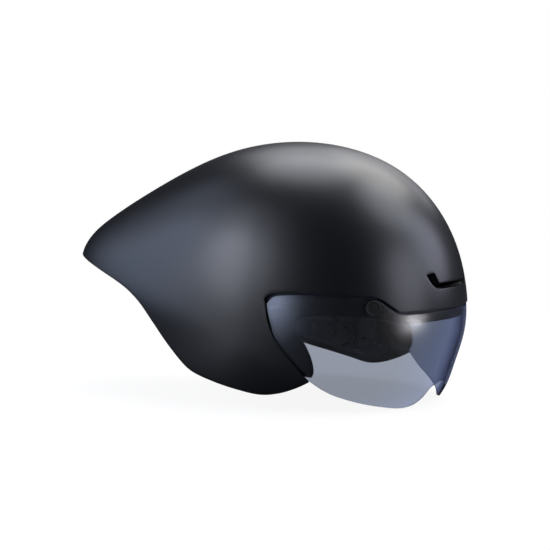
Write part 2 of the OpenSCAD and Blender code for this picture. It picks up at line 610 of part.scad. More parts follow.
// Yoke: a stem that slides on the rail and an open box for the gear
module cradle_yoke() color("#1d1e21") in_cradle() {
  x = rail_back + rail_t + fit;
  lip = rail_w / 2 - 2.6;
  difference() {
    union() {
      translate([0, 0, stem_z]) linear_extrude(stem_top - stem_z) polygon([[x + stem_t, -stem_w / 2],
        [x + stem_t, stem_w / 2], [rail_back, stem_w / 2], [rail_back, lip], [rail_back + 0.7, lip],
        [rail_back + 0.7, rail_w / 2 + fit], [x, rail_w / 2 + fit], [x, -rail_w / 2 - fit],
        [rail_back + 0.7, -rail_w / 2 - fit], [rail_back + 0.7, -lip], [rail_back, -lip],
        [rail_back, -stem_w / 2]]);
      translate([x, -stem_w / 2, housing_z + housing_h / 2 - wall])
        cube([tray_front - x, stem_w, stem_z + 1 - housing_z - housing_h / 2 + wall]);
      plate_x(tray_x, tray_front - tray_x) translate([0, housing_z]) offset(r = 4)
        square([housing_w - 8, housing_h - 8], center = true);
    }
    for (k = [-1, 1]) translate([x - cut, k * 4 - 0.4, 4]) cube([stem_t + 2 * cut, 0.8, 14]);
    translate([x - cut, -4.4, 3.2]) cube([stem_t + 2 * cut, 8.8, 0.8]);
    translate([tray_x - cut, 0, housing_z]) {
      translate([0, -housing_w / 2 + wall, -screw_z + 3])
        cube([floor_x - tray_x + cut, housing_w - 2 * wall, 2 * screw_z - 6]);
      for (k = [-1, 1]) translate([0, k > 0 ? 0 : -housing_w / 2 - cut, k > 0 ? 2.8 : -8.4])
        cube([floor_x - tray_x + cut, housing_w / 2 + cut, 5.6]);
      rotate([0, 90, 0]) cylinder(d = shaft_d + 0.3, h = tray_front - tray_x + 2 * cut);
      for (j = [-1, 1], k = [-1, 1]) translate([0, j * screw_y, k * screw_z]) rotate([0, 90, 0])
        cylinder(r = screw_r + 0.05, h = floor_x - tray_x + cut);
    }
  }
}
module dial_cover() color("#1d1e21") in_cradle() difference() {
  union() {
    plate_x(cover_x, tray_x - fit / 2 - cover_x) translate([0, housing_z]) intersection() {
      offset(r = 4) square([housing_w - 8, housing_h - 8], center = true);
      translate([0, -wall]) square([housing_w + 2, housing_h - 0.4], center = true);
    }
  }
  translate([0, 0, housing_z]) rotate([0, 90, 0]) translate([0, 0, cover_x - cut]) {
    cylinder(d = shaft_d + 0.1, h = tray_x);
    for (j = [-1, 1], k = [-1, 1]) translate([-k * screw_z, j * screw_y, 0]) {
      cylinder(r = screw_r + 0.1, h = tray_x);
      cylinder(r = 2, h = cut + 1.1);
    }
  }
}
module cover_screws() color("#8d9094") in_cradle() for (j = [-1, 1], k = [-1, 1])
  translate([cover_x + 0.1, j * screw_y, housing_z + k * screw_z]) rotate([0, 90, 0])
    rotate_extrude() polygon([[0, 0.4], [0.5, 0.4], [0.5, 0], [1.6, 0], [1.9, 0.3], [1.9, 0.9],
      [screw_r, 0.9], [screw_r, 4.6], [screw_r / 2, 5.1], [0, 5.1]]);
module cradle_pad() {
  n = 6;
  m = 4;
  function grid(inner) = [for (i = [-n:n]) [for (j = [-m:m])
    [tray_front + bond + (inner ? pad_edge / 2 + 1.9 * crown(i / n, j / m, 3) : 0),
      i / n * (housing_w / 2 - 2), housing_z + j / m * (housing_h / 2 - 2)]]];
  color("#1c1d20") in_cradle() sheet(grid(false), grid(true));
}

// Arms: seen from above a curve round the head, seen from the side rising from the rack
function arm_side(k, m) =
  let (v = along(arm_rows, min(len(arm_rows) - 1, k + 0.1)) - along(arm_rows, max(0, k - 0.1)))
  along(arm_rows, k) + m * [v[1], -v[0]] / norm(v);
// Middle and half height of an arm at x; side is 1 for the left band
function arm_z(x, side) = let (t = smooth((x - arm_inset) / arm_run))
  [mix(housing_z + side * (rack_z + rack_bar / 2), housing_z + arm_rise + rack_z + rack_bar / 2, t),
    mix(rack_bar / 2, band_h / 2, smooth((x - arm_inset) / arm_flare))];
module band(side) {
  steps = [for (i = [0:24]) i / 24 * (len(arm_rows) - 1)];
  xs = [for (i = [0:16]) mix(rack_x + fit, arm_rows[len(arm_rows) - 1][0] + cut, i / 16)];
  color("#232428") in_cradle() {
    intersection() {
      translate([0, 0, housing_z - band_h]) linear_extrude(3 * band_h) scale([1, side]) polygon(concat(
        [for (k = steps) arm_side(k, band_t / 2)], [for (i = [24:-1:0]) arm_side(steps[i], -band_t / 2)]));
      rotate([90, 0, 0]) linear_extrude(2 * head_w, center = true) polygon(concat(
        [for (x = xs) [x, arm_z(x, side)[0] - arm_z(x, side)[1]]],
        [for (i = [16:-1:0]) let (z = arm_z(xs[i], side)) [xs[i], z[0] + z[1]]]));
    }
    translate([0, 0, housing_z]) rotate([side > 0 ? 0 : 180, 0, 0]) plate_x(rack_x, rack_depth)
      union() {
        translate([-rack_start, rack_z]) square([rack_start + arm_rows[0][1] + cut / 2, rack_bar]);
        for (k = [-1:rack_teeth]) translate([k * tooth_pitch, 0]) polygon([[-tooth_root, rack_z + 0.1],
          [-tooth_half, pinion_r], [-tooth_tip, pinion_r - gear_module],
          [tooth_tip, pinion_r - gear_module], [tooth_half, pinion_r], [tooth_root, rack_z + 0.1]]);
      }
  }
}
module band_left() band(1);
module band_right() band(-1);
module band_pad(side) {
  n = 9;
  m = 3;
  function grid(inner) = [for (i = [-n:n]) let (k = mix(arm_pad_row, len(arm_rows) - 1.15, (i + n) / (2 * n)),
      z = arm_z(along(arm_rows, k)[0], side)) [for (j = [-m:m])
    let (p = arm_side(k, band_t / 2 + 0.4 + (inner ? pad_edge / 2 + 1.9 * crown(i / n, j / m, 4) : 0)))
    [p[0], side * p[1], z[0] + j / m * (z[1] - 1)]]];
  color("#1c1d20") in_cradle() sheet(grid(side < 0), grid(side > 0));
}
module band_pad_left() band_pad(1);
module band_pad_right() band_pad(-1);

// Dial with its stepped shaft; the core is flat on one side to drive the pinion
module core(r, x) intersection() {
  circle(r = r);
  translate([-2 * r, -2 * r]) square([4 * r, 2 * r + x]);
}
module dial_knob() color("#2d2e31") in_cradle() translate([0, 0, housing_z]) difference() {
  union() {
    plate_x(cover_x - fit - dial_t, dial_t) difference() {
      circle(d = dial_d);
      for (k = [0:dial_grips - 1]) rotate(k * 360 / dial_grips) translate([dial_d / 2 + 0.6, 0])
        circle(r = 1.5);
    }
    plate_x(cover_x - fit - 1, rack_x - fit - cover_x + fit + 1) circle(d = shaft_d);
    plate_x(rack_x - 1, rack_depth + 1) core(core_r, core_flat);
  }
  plate_x(cover_x - fit - dial_t - cut, cut + 1.6) circle(d = dial_d - 7);
  plate_x(rack_x, rack_depth + cut) circle(r = 0.85);
}
module pinion() color("#c9cacc") in_cradle() translate([0, 0, housing_z])
  plate_x(rack_x, rack_depth) difference() {
    rotate(180 / pinion_teeth) union() {
      circle(r = pinion_r - 1.25 * gear_module);
      for (k = [0:pinion_teeth - 1]) rotate(k * 360 / pinion_teeth + 90 + (pinion_teeth % 2) * 90)
        polygon([[pinion_r - 1.3 * gear_module, -tooth_root * 0.8], [pinion_r, -tooth_half],
          [pinion_r + gear_module, -tooth_tip], [pinion_r + gear_module, tooth_tip],
          [pinion_r, tooth_half], [pinion_r - 1.3 * gear_module, tooth_root * 0.8]]);
    }
    core(core_r + 0.05, core_flat + 0.05);
  }
module axle_screw() color("#8d9094") in_cradle()
  translate([rack_x + rack_depth + 1.4, 0, housing_z]) rotate([0, -90, 0])
    rotate_extrude() polygon([[0, 0.4], [0.5, 0.4], [0.5, 0], [2.2, 0], [2.5, 0.3], [2.5, 1.2],
      [0.8, 1.2], [0.8, 3.6], [0.4, 4], [0, 4]]);

outer_shell();
visor_seat();
foam_liner();
brow_foam();
tail_undertray();
rim_bead();
brow_pad();
crown_pads();
side_pad_left();
side_pad_right();
flap_pad_left();
flap_pad_right();
seat_magnets();
strap_anchors();
front_strap_left();
front_strap_right();
rear_strap_left();
rear_strap_right();
strap_divider_left();
strap_divider_right();
chin_strap_left();
chin_strap_right();
buckle_socket();
buckle_plug();
height_rail();
visor_lens();
button_left();
button_right();
lens_magnets();
cradle_yoke();
dial_cover();
cover_screws();
cradle_pad();
band_left();
band_pad_left();
band_right();
band_pad_right();
dial_knob();
pinion();
axle_screw();
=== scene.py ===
import math
import bmesh
import bpy
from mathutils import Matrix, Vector


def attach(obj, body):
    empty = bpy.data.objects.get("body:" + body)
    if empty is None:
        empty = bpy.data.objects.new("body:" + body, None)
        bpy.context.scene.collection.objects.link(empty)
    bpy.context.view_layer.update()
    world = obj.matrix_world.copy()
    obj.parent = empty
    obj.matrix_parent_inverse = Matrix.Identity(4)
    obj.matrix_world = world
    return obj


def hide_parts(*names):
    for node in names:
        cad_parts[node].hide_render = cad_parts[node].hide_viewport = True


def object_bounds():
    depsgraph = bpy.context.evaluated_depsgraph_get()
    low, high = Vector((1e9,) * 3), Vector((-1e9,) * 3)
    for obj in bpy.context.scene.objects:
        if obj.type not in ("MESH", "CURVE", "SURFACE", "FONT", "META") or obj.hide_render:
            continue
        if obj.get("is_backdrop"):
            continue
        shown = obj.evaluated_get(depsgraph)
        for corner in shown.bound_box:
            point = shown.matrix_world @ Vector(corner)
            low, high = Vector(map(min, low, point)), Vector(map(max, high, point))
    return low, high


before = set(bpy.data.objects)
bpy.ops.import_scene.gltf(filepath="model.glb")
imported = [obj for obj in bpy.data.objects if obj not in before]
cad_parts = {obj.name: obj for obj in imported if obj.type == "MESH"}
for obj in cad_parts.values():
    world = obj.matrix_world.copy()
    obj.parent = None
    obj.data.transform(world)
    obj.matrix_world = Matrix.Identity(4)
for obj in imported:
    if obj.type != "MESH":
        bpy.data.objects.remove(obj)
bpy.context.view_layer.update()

MM = 0.001
SIDES = ((-1, "right"), (1, "left"))

# Sizes of the helmet, in mm, as in the part's source: half the head's length and width, and its
# height above the brow line, then walls, gaps and pads from the outside in
HEAD = (98, 78, 105)
SHELL_T, BOND = 1.8, 0.7
SKINS = SHELL_T + BOND
LENS_T, LENS_INSET = 1.8, 1
SEAT_T, SEAT_GAP, SEAT_FLANGE = 1.6, 0.5, 5
SEAT_DEPTH = LENS_INSET + LENS_T + SEAT_GAP
SEAT_TUCK = SHELL_T + 1.2 * BOND
BEAD_W, BEAD_T = 3.2, 2.2
TRAY_T, TRAY_GAP, TRAY_RISE, TRAY_CAMBER = 1.6, 0.5, 3, 2
PAD_T, PAD_GAP, PAD_EDGE = 5, 0.9, 1.25
PAD_OUT = PAD_T - PAD_GAP
FLAP_PAD_T, FLAP_PAD_OUT = 6.4, SHELL_T + PAD_GAP
STRAP_W, STRAP_T, STRAP_GAP, STRAP_STEP = 15, 1.4, 0.3, 22
FLAP_PAD_IN = FLAP_PAD_OUT + FLAP_PAD_T + STRAP_GAP
BUTTON_SINK = 0.1

# Reach of the body, and the middle that its places are measured from
FRONT_X = HEAD[0] + PAD_T + 20 + SKINS
HALF_W = HEAD[1] + PAD_T + 15 + SKINS
CROWN_Z = HEAD[2] + PAD_T + 27.5 + SKINS
HALF_L = (FRONT_X + HEAD[0] + 106) / 2
FOAM_WALL_X = -(HEAD[0] + PAD_T + 22)
CENTRE_X = FRONT_X - 0.846 * HALF_L

# Side outline: the body's reach every 15 degrees from the front over the crown, as a share
OUTLINE = [0.849, 0.868, 0.915, 0.968, 1.01, 1.012, 1, 0.988, 0.98, 1.01, 1.105, 1.262,
           0.985, 0.87, 0.85, 0.845, 0.83, 0.8, 0.745, 0.69, 0.67, 0.735, 0.84, 0.808]
# Feet of the hoops, as shares of half the length and of the crown's height, with the angle at
# which each hoop leaves the ridge: round the visor's window, then down the flap to the tail,
# where the last value bows the hoop forward
WINDOW = [(0.725, 0.146, 9.3), (0.69, 0.185, 13), (0.663, 0.213, 16.4),
          (0.633, 0.228, 18.6), (0.594, 0.234, 24.3), (0.507, 0.24, 33), (0.399, 0.246, 45),
          (0.289, 0.247, 59), (0.218, 0.24, 71), (0.183, 0.216, 79), (0.171, 0.18, 85),
          (0.181, 0.101, 93), (0.201, 0.039, 98), (0.226, -0.033, 103), (0.274, -0.107, 108.5),
          (0.335, -0.184, 114), (0.375, -0.22, 118)]
RIM = [(0.375, -0.22, 118, 0), (0.313, -0.256, 119.4, 0.023), (0.229, -0.29, 120.6, 0.053),
       (0.137, -0.304, 121.8, 0.089), (0.026, -0.282, 123.1, 0.126),
       (-0.101, -0.249, 124.8, 0.169), (-0.208, -0.216, 126.6, 0.209),
       (-0.268, -0.181, 129.6, 0.248), (-0.335, -0.121, 132.5, 0.279),
       (-0.398, -0.057, 135.3, 0.285), (-0.475, 0.033, 138.7, 0.239),
       (-0.557, 0.121, 142.3, 0.168), (-0.648, 0.184, 145.8, 0.114),
       (-0.745, 0.226, 149.4, 0.073), (-0.849, 0.26, 152.9, 0.048), (-0.962, 0.295, 156.4, 0.032),
       (-1.054, 0.321, 159.9, 0.017), (-1.109, 0.336, 163.4, 0)]
FOAM_EDGE = [(0.672, 0.248, 13.5), (0.651, 0.274, 15.9), (0.618, 0.286, 19.2),
             (0.569, 0.294, 24.3), (0.509, 0.296, 30), (0.387, 0.304, 44), (0.266, 0.304, 60),
             (0.169, 0.286, 74), (0.129, 0.236, 83), (0.117, 0.157, 91), (0.102, 0.071, 98),
             (0.047, 0.025, 106), (-0.05, 0.014, 114), (-0.17, 0.021, 122),
             (-0.255, 0.09, 130), (-0.341, 0.164, 139), (-0.438, 0.193, 148),
             (-0.523, 0.214, 155), (-0.596, 0.243, 161), (-0.665, 0.264, 168.5)]

# Edges of the seat and the lens, middle of the button, edges of the flap pad, the strap runs,
# and the heights over which a strap passes from flap pad to foam, in the same shares
SEAT_OUT = [(0.846, 0.138), (0.803, 0.142), (0.725, 0.146), (0.69, 0.185), (0.65, 0.221),
            (0.594, 0.234), (0.507, 0.24), (0.399, 0.246), (0.289, 0.247), (0.218, 0.24),
            (0.183, 0.216), (0.171, 0.18), (0.181, 0.101), (0.201, 0.039), (0.226, -0.033),
            (0.274, -0.107), (0.332, -0.18), (0.345, -0.196)]
SEAT_IN = [(0.846, 0.082), (0.797, 0.081), (0.727, 0.096), (0.672, 0.116), (0.635, 0.122),
           (0.59, 0.127), (0.515, 0.131), (0.428, 0.133), (0.375, 0.125), (0.346, 0.108),
           (0.335, 0.09), (0.333, 0.068), (0.338, 0.045), (0.354, 0.004), (0.379, -0.055),
           (0.394, -0.107), (0.4, -0.17), (0.388, -0.203)]
LENS_TOP = [(0.86, 0.133), (0.834, 0.132), (0.798, 0.131), (0.727, 0.135), (0.688, 0.173),
            (0.646, 0.213), (0.545, 0.228), (0.424, 0.235), (0.302, 0.236), (0.223, 0.226),
            (0.189, 0.186)]
LENS_LOW = [(0.78, -0.267), (0.762, -0.293), (0.734, -0.346), (0.703, -0.381), (0.67, -0.39),
            (0.621, -0.371), (0.563, -0.346), (0.512, -0.321), (0.463, -0.294), (0.424, -0.264),
            (0.384, -0.226)]
LENS_BACK = [(0.189, 0.186), (0.192, 0.143), (0.207, 0.079), (0.226, 0.007), (0.256, -0.061),
             (0.296, -0.123), (0.341, -0.178), (0.384, -0.226)]
BUTTON = (0.636, 0.169)
FLAP_LOW = [(-0.28, -0.121), (-0.22, -0.179), (-0.098, -0.218), (0.023, -0.246),
            (0.132, -0.271), (0.211, -0.264), (0.266, -0.236)]
FLAP_HIGH = [(-0.232, -0.043), (-0.171, -0.039), (-0.08, -0.036), (0.005, -0.036),
             (0.084, -0.036), (0.138, -0.036), (0.181, -0.079)]
FRONT_STRAP = [(0.035, 0.135), (0.03, 0.071), (0.03, 0), (0.032, -0.07), (0.035, -0.125)]
REAR_STRAP = [(-0.232, 0.165), (-0.228, 0.1), (-0.19, 0.03), (-0.11, -0.06), (-0.065, -0.105)]
CHIN_STRAP = [(0.07, -0.195), (0.14, -0.195), (0.2, -0.15)]
HUG_FROM, HUG_OVER = -0.09, 0.08

# Opening of the foam behind the vent slot, and the crown pads: length, half width, pitch and
# where they start behind the middle of the head
FOAM_SLOT_IN, FOAM_SLOT_OUT = 0.2, 0.46
CROWN_STRIP = (111, 10, 34, -45)

# Height rail on the back of the foam, and the cradle and bands in the cradle's own frame
RAIL_LOW, RAIL_HIGH = 20, 51.3
RACK_Z, RACK_APART, CRADLE_FACE, ARM_SKIN = -26.8, 6.5, 9 + BOND, 1.3
CRADLE_PAD = (21, 13)
ARM = [(5.3, 19.97), (5.3, 28.08), (5.61, 34.94), (9, 40.5), (16.99, 47), (28.01, 54.19),
       (38, 59.8), (48, 64.51), (58, 68.41)]
ARM_PAD_RUN = (4.2, 7.85)
# From x on, a band climbs from its rack to a height, and widens from one half width to another
ARM_X, ARM_HIGH, ARM_RISE = 6, -12.3, 40
ARM_THIN, ARM_WIDE, ARM_WIDEN = 1.5, 8, 24


def smooth(t):
    t = max(0.0, min(1.0, t))
    return t * t * (3 - 2 * t)


def mix(a, b, t):
    return tuple(p + (q - p) * t for p, q in zip(a, b))


def along(rows, u):
    """Point at place u on a smooth curve through the rows."""
    n = len(rows) - 1
    i = max(0, min(int(math.floor(u)), n - 1))
    f = u - i
    p, q, r, s = rows[max(i - 1, 0)], rows[i], rows[i + 1], rows[min(i + 2, n)]
    return tuple((2 * b + (c - a) * f + (2 * a - 5 * b + 4 * c - d) * f * f
                  + (3 * b - a - 3 * c + d) * f ** 3) / 2 for a, b, c, d in zip(p, q, r, s))


def rho(angle):
    """The outline's reach at an angle, as a share, on a smooth closed curve."""
    w = (angle % 360) / 15
    i, n = int(w), len(OUTLINE)
    f = w - i
    s = [OUTLINE[(i + k - 1) % n] for k in range(4)]
    return ((1 - f) ** 3 * s[0] + (3 * f ** 3 - 6 * f * f + 4) * s[1]
            + (3 * f + 3 * f * f - 3 * f ** 3 + 1) * s[2] + f ** 3 * s[3]) / 6


def reach(angle):
    """The same reach in mm."""
    a = math.radians(angle)
    return rho(angle) * math.hypot(HALF_L * math.cos(a), CROWN_Z * math.sin(a))


def plan_half(x):
    """Half width at x, drawn in towards the tail."""
    return HALF_W * (1 - 0.38 * smooth((CENTRE_X + 0.106 * HALF_L - x) / (1.327 * HALF_L)))


def skin(p, depth, side):
    """Point of the body, in mm, at place p = (g, angle) and depth below the outside."""
    a = math.radians(p[1])
    r = math.sin(math.radians(90 * min(p[0], 1)))
    k = r * rho(p[1]) * (1 - depth / reach(p[1]))
    x = CENTRE_X + HALF_L * k * math.cos(a)
    return (x, side * (plan_half(x) - depth) * math.sqrt(max(0.0, 1 - r ** 2.64)),
            CROWN_Z * k * math.sin(a))


def place(s):
    """Place (g, angle) of a point given by its shares in side view."""
    a = math.degrees(math.atan2(s[1], s[0]))
    return (math.degrees(math.asin(min(1.0, math.hypot(s[0], s[1]) / rho(a)))) / 90, a)


def from_ridge(rows):
    """Places of an edge whose first point lies on the ridge."""
    return [(1.0, place(r)[1]) if i == 0 else place(r) for i, r in enumerate(rows)]


def flat(p):
    """Place as flat coordinates, where lines between places are drawn."""
    return (p[0] * math.cos(math.radians(p[1])), p[0] * math.sin(math.radians(p[1])))


def polar(q):
    """Flat coordinates back to a place."""
    return (math.hypot(*q), math.degrees(math.atan2(q[1], q[0])))


def head_in_line(p, off):
    """Point at a distance off the head, in line from its middle to p."""
    a, b, c = (h + off for h in HEAD)
    k = 1 / math.sqrt((p[0] / a) ** 2 + (p[1] / b) ** 2 + (max(0, p[2]) / c) ** 2)
    return (p[0] * k, p[1] * k, p[2] * k if p[2] > 0 else p[2])


# Mesh makers


def finished(name, bm, body, material, *nodes):
    """Object from a bmesh in mm, riding on its body in place of its nodes."""
    bmesh.ops.scale(bm, vec=(MM, MM, MM), verts=bm.verts)
    mesh = bpy.data.meshes.new(name)
    bm.to_mesh(mesh)
    bm.free()
    mesh.materials.append(material)
    mesh.polygons.foreach_set("use_smooth", [True] * len(mesh.polygons))
    piece = bpy.data.objects.new(name, mesh)
    bpy.context.scene.collection.objects.link(piece)
    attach(piece, body)
    if nodes:
        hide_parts(*nodes)
    return piece


def face_out(bm):
    """All faces of a closed piece turned outwards."""
    bmesh.ops.recalc_face_normals(bm, faces=bm.faces)
    if bm.calc_volume(signed=True) < 0:
        bmesh.ops.reverse_faces(bm, faces=bm.faces)
    return bm


def cells(across, along_it, keep=None):
    """Flat grid of unit cells, less those whose place (s, t) isn't kept."""
    bm = bmesh.new()
    bmesh.ops.create_grid(bm, x_segments=across, y_segments=along_it, size=0.5)
    for v in bm.verts:
        v.co = (round((v.co.x + 0.5) * across), round((v.co.y + 0.5) * along_it), 0)
    if keep:
        gone = []
        for f in bm.faces:
            middle = f.calc_center_median()
            if not keep(middle.x / across, middle.y / along_it):
                gone.append(f)
        bmesh.ops.delete(bm, geom=gone, context="FACES")
    return bm


def closed(across, along_it, outside, inside, uv=None, keep=None, corner=None):
    """Wall whose places (s, t), each from 0 to 1, go to outside(s, t) and inside(s, t), in mm.

    keep(s, t) leaves cells out, corner rounds what is cut, and uv gives the real lengths.
    """
    bm = cells(across, along_it, keep)
    if corner:
        turns = []
        for v in bm.verts:
            rim = [e for e in v.link_edges if e.is_boundary]
            if len(rim) == 2 and 0 < v.co.x < across and 0 < v.co.y < along_it:
                a, b = (e.other_vert(v).co - v.co for e in rim)
                if abs(a.normalized().dot(b.normalized())) < 0.5:
                    turns.append(v)
        bmesh.ops.bevel(bm, geom=turns, offset=corner, segments=3, profile=0.5,
                        affect="VERTICES", material=-1)
    copied = bmesh.ops.extrude_face_region(bm, geom=bm.faces[:], use_keep_orig=True)["geom"]
    under = {v for v in copied if isinstance(v, bmesh.types.BMVert)}
    if uv:
        layer = bm.loops.layers.uv.new("cloth")
        for f in bm.faces:
            for loop in f.loops:
                at = loop.vert.co
                loop[layer].uv = (at.x / across * uv[0], at.y / along_it * uv[1])
    for v in bm.verts:
        v.co = (inside if v in under else outside)(v.co.x / across, v.co.y / along_it)
    return face_out(bm)


def soften(piece, width, segments=3, angle=50):
    """Rounded edge of a width in mm, where faces meet at more than the angle."""
    bevel = piece.modifiers.new("edge", "BEVEL")
    bevel.width = width * MM
    bevel.segments = segments
    bevel.limit_method = "ANGLE"
    bevel.angle_limit = math.radians(angle)
    bevel.harden_normals = False
    return piece


# Materials


def material(name, colour, roughness, **sockets):
    mat = bpy.data.materials.new(name)
    mat.use_nodes = True
    shader = mat.node_tree.nodes["Principled BSDF"]
    shader.inputs["Base Color"].default_value = (*colour, 1)
    shader.inputs["Roughness"].default_value = roughness
    for key, value in sockets.items():
        shader.inputs[key.replace("_", " ")].default_value = value
    mat.diffuse_color = (*colour, 1)
    return mat


def node(mat, kind, **values):
    n = mat.node_tree.nodes.new(kind)
    for key, value in values.items():
        if key in n.inputs:
            n.inputs[key].default_value = value
        else:
            setattr(n, key, value)
    return n


def link(mat, a, b):
    mat.node_tree.links.new(a, b)


def blend(mat, fac, a, b):
    """Shader a where fac is 0 and b where it is 1."""
    n = node(mat, "ShaderNodeMixShader")
    link(mat, fac, n.inputs["Fac"])
    link(mat, a, n.inputs[1])
    link(mat, b, n.inputs[2])
    return n.outputs[0]


def coordinates(mat, kind="Object"):
    return node(mat, "ShaderNodeTexCoord").outputs[kind]


def shader_of(mat):
    return mat.node_tree.nodes["Principled BSDF"]


def noise(mat, vector, scale, detail):
    n = node(mat, "ShaderNodeTexNoise", Scale=scale, Detail=detail)
    link(mat, vector, n.inputs["Vector"])
    return n.outputs["Fac"]


def ramp(mat, fac, *stops):
    """Colour that runs through (position, colour) stops."""
    n = node(mat, "ShaderNodeValToRGB")
    ramp_stops = n.color_ramp.elements
    while len(ramp_stops) < len(stops):
        ramp_stops.new(0.5)
    for stop, (at, colour) in zip(ramp_stops, stops):
        stop.position = at
        stop.color = (*colour, 1)
    link(mat, fac, n.inputs["Fac"])
    return n.outputs["Color"]


def span(mat, fac, low, high):
    """Value from low to high as fac goes from 0 to 1."""
    n = node(mat, "ShaderNodeMapRange")
    n.inputs["To Min"].default_value = low
    n.inputs["To Max"].default_value = high
    link(mat, fac, n.inputs["Value"])
    return n.outputs["Result"]


def bump(mat, height, distance, strength, under=None):
    n = node(mat, "ShaderNodeBump", Strength=strength, Distance=distance)
    link(mat, height, n.inputs["Height"])
    if under:
        link(mat, under, n.inputs["Normal"])
    return n.outputs["Normal"]


def satin_paint():
    """Charcoal satin paint with a faint cloud and a very fine orange peel."""
    mat = material("satin_charcoal_paint", (0.0024, 0.0026, 0.0034), 0.37,
                   Specular_Tint=(0.9, 0.93, 1, 1))
    at = coordinates(mat)
    cloud = noise(mat, at, 14, 2)
    link(mat, ramp(mat, cloud, (0.3, (0.0021, 0.0023, 0.003)), (0.7, (0.0028, 0.003, 0.0039))),
         shader_of(mat).inputs["Base Color"])
    link(mat, span(mat, noise(mat, at, 60, 4), 0.355, 0.38), shader_of(mat).inputs["Roughness"])
    link(mat, bump(mat, noise(mat, at, 1400, 2), 0.00002, 0.4), shader_of(mat).inputs["Normal"])
    return mat


def moulded(name, colour, roughness, grain=900, depth=0.00004, gloss=0.5):
    """Moulded plastic with a fine grain."""
    mat = material(name, colour, roughness, Specular_IOR_Level=gloss)
    at = coordinates(mat)
    link(mat, span(mat, noise(mat, at, 45, 3), roughness - 0.05, roughness + 0.05),
         shader_of(mat).inputs["Roughness"])
    link(mat, ramp(mat, noise(mat, at, 25, 2), (0.25, [c * 0.85 for c in colour]),
                   (0.75, [c * 1.12 for c in colour])), shader_of(mat).inputs["Base Color"])
    link(mat, bump(mat, noise(mat, at, grain, 2), depth, 0.6), shader_of(mat).inputs["Normal"])
    return mat


def beaded_foam():
    """Moulded foam whose fused beads show."""
    mat = material("beaded_foam", (0.03, 0.031, 0.034), 0.75, Specular_IOR_Level=0.25)
    at = coordinates(mat)
    bead = node(mat, "ShaderNodeTexVoronoi", Scale=420)
    link(mat, at, bead.inputs["Vector"])
    link(mat, ramp(mat, bead.outputs["Distance"], (0.1, (0.042, 0.043, 0.047)),
                   (0.75, (0.016, 0.0165, 0.018))), shader_of(mat).inputs["Base Color"])
    link(mat, bump(mat, bead.outputs["Distance"], -0.00025, 0.5),
         shader_of(mat).inputs["Normal"])
    return mat


def knit(name, colour):
    """Brushed knit: fine rows and loops under a fuzz, with a sheen."""
    mat = material(name, colour, 0.85, Specular_IOR_Level=0.2, Sheen_Weight=0.08,
                   Sheen_Roughness=0.5)
    uv = coordinates(mat, "UV")
    rows = node(mat, "ShaderNodeTexWave", Scale=0.9, Distortion=1.5, Detail=2)
    rows.inputs["Detail Scale"].default_value = 3
    link(mat, uv, rows.inputs["Vector"])
    loops = node(mat, "ShaderNodeTexVoronoi", Scale=1.6)
    link(mat, uv, loops.inputs["Vector"])
    both = node(mat, "ShaderNodeMath", operation="ADD")
    link(mat, rows.outputs["Fac"], both.inputs[0])
    link(mat, loops.outputs["Distance"], both.inputs[1])
    fuzz = noise(mat, coordinates(mat), 260, 4)
    link(mat, ramp(mat, fuzz, (0.3, [c * 0.7 for c in colour]), (0.7, [c * 1.35 for c in colour])),
         shader_of(mat).inputs["Base Color"])
    link(mat, bump(mat, both.outputs[0], 0.00012, 0.5, bump(mat, fuzz, 0.0002, 0.4)),
         shader_of(mat).inputs["Normal"])
    return mat


def woven(name, colour):
    """Flat webbing: a fine twill crossed by its threads."""
    mat = material(name, colour, 0.7, Sheen_Weight=0.15)
    uv = coordinates(mat, "UV")
    turned = node(mat, "ShaderNodeMapping")
    turned.inputs["Rotation"].default_value = (0, 0, math.radians(45))
    link(mat, uv, turned.inputs["Vector"])
    twill = node(mat, "ShaderNodeTexWave", Scale=0.55, Distortion=0.3, Detail=1)
    link(mat, turned.outputs["Vector"], twill.inputs["Vector"])
    threads = node(mat, "ShaderNodeTexWave", Scale=0.9)
    threads.bands_direction = "Y"
    link(mat, uv, threads.inputs["Vector"])
    both = node(mat, "ShaderNodeMath", operation="MULTIPLY")
    link(mat, twill.outputs["Fac"], both.inputs[0])
    link(mat, threads.outputs["Fac"], both.inputs[1])
    link(mat, ramp(mat, both.outputs[0], (0.1, [c * 0.6 for c in colour]),
                   (0.8, [c * 1.5 for c in colour])), shader_of(mat).inputs["Base Color"])
    link(mat, bump(mat, both.outputs[0], 0.0002, 0.6), shader_of(mat).inputs["Normal"])
    return mat


def smoke_lens():
    """Tinted lens: bluer and then dark where it is seen edge on, with a soft hard coat."""
    mat = material("smoke_lens", (0.27, 0.295, 0.35), 0.02, Transmission_Weight=1.0, IOR=1.03,
                   Coat_Weight=0.4, Coat_Roughness=0.31, Coat_IOR=1.48)
    facing = node(mat, "ShaderNodeLayerWeight", Blend=0.5).outputs["Facing"]
    link(mat, ramp(mat, facing, (0.2, (0.27, 0.295, 0.35)), (0.32, (0.275, 0.308, 0.39)),
                   (0.55, (0.31, 0.352, 0.47)), (0.7, (0.17, 0.2, 0.32)),
                   (0.79, (0.02, 0.03, 0.08))), shader_of(mat).inputs["Base Color"])
    return mat


def bright_metal(name, colour, roughness):
    mat = material(name, colour, roughness, Metallic=1.0)
    at = coordinates(mat)
    link(mat, span(mat, noise(mat, at, 300, 4), roughness - 0.06, roughness + 0.08),
         shader_of(mat).inputs["Roughness"])
    return mat


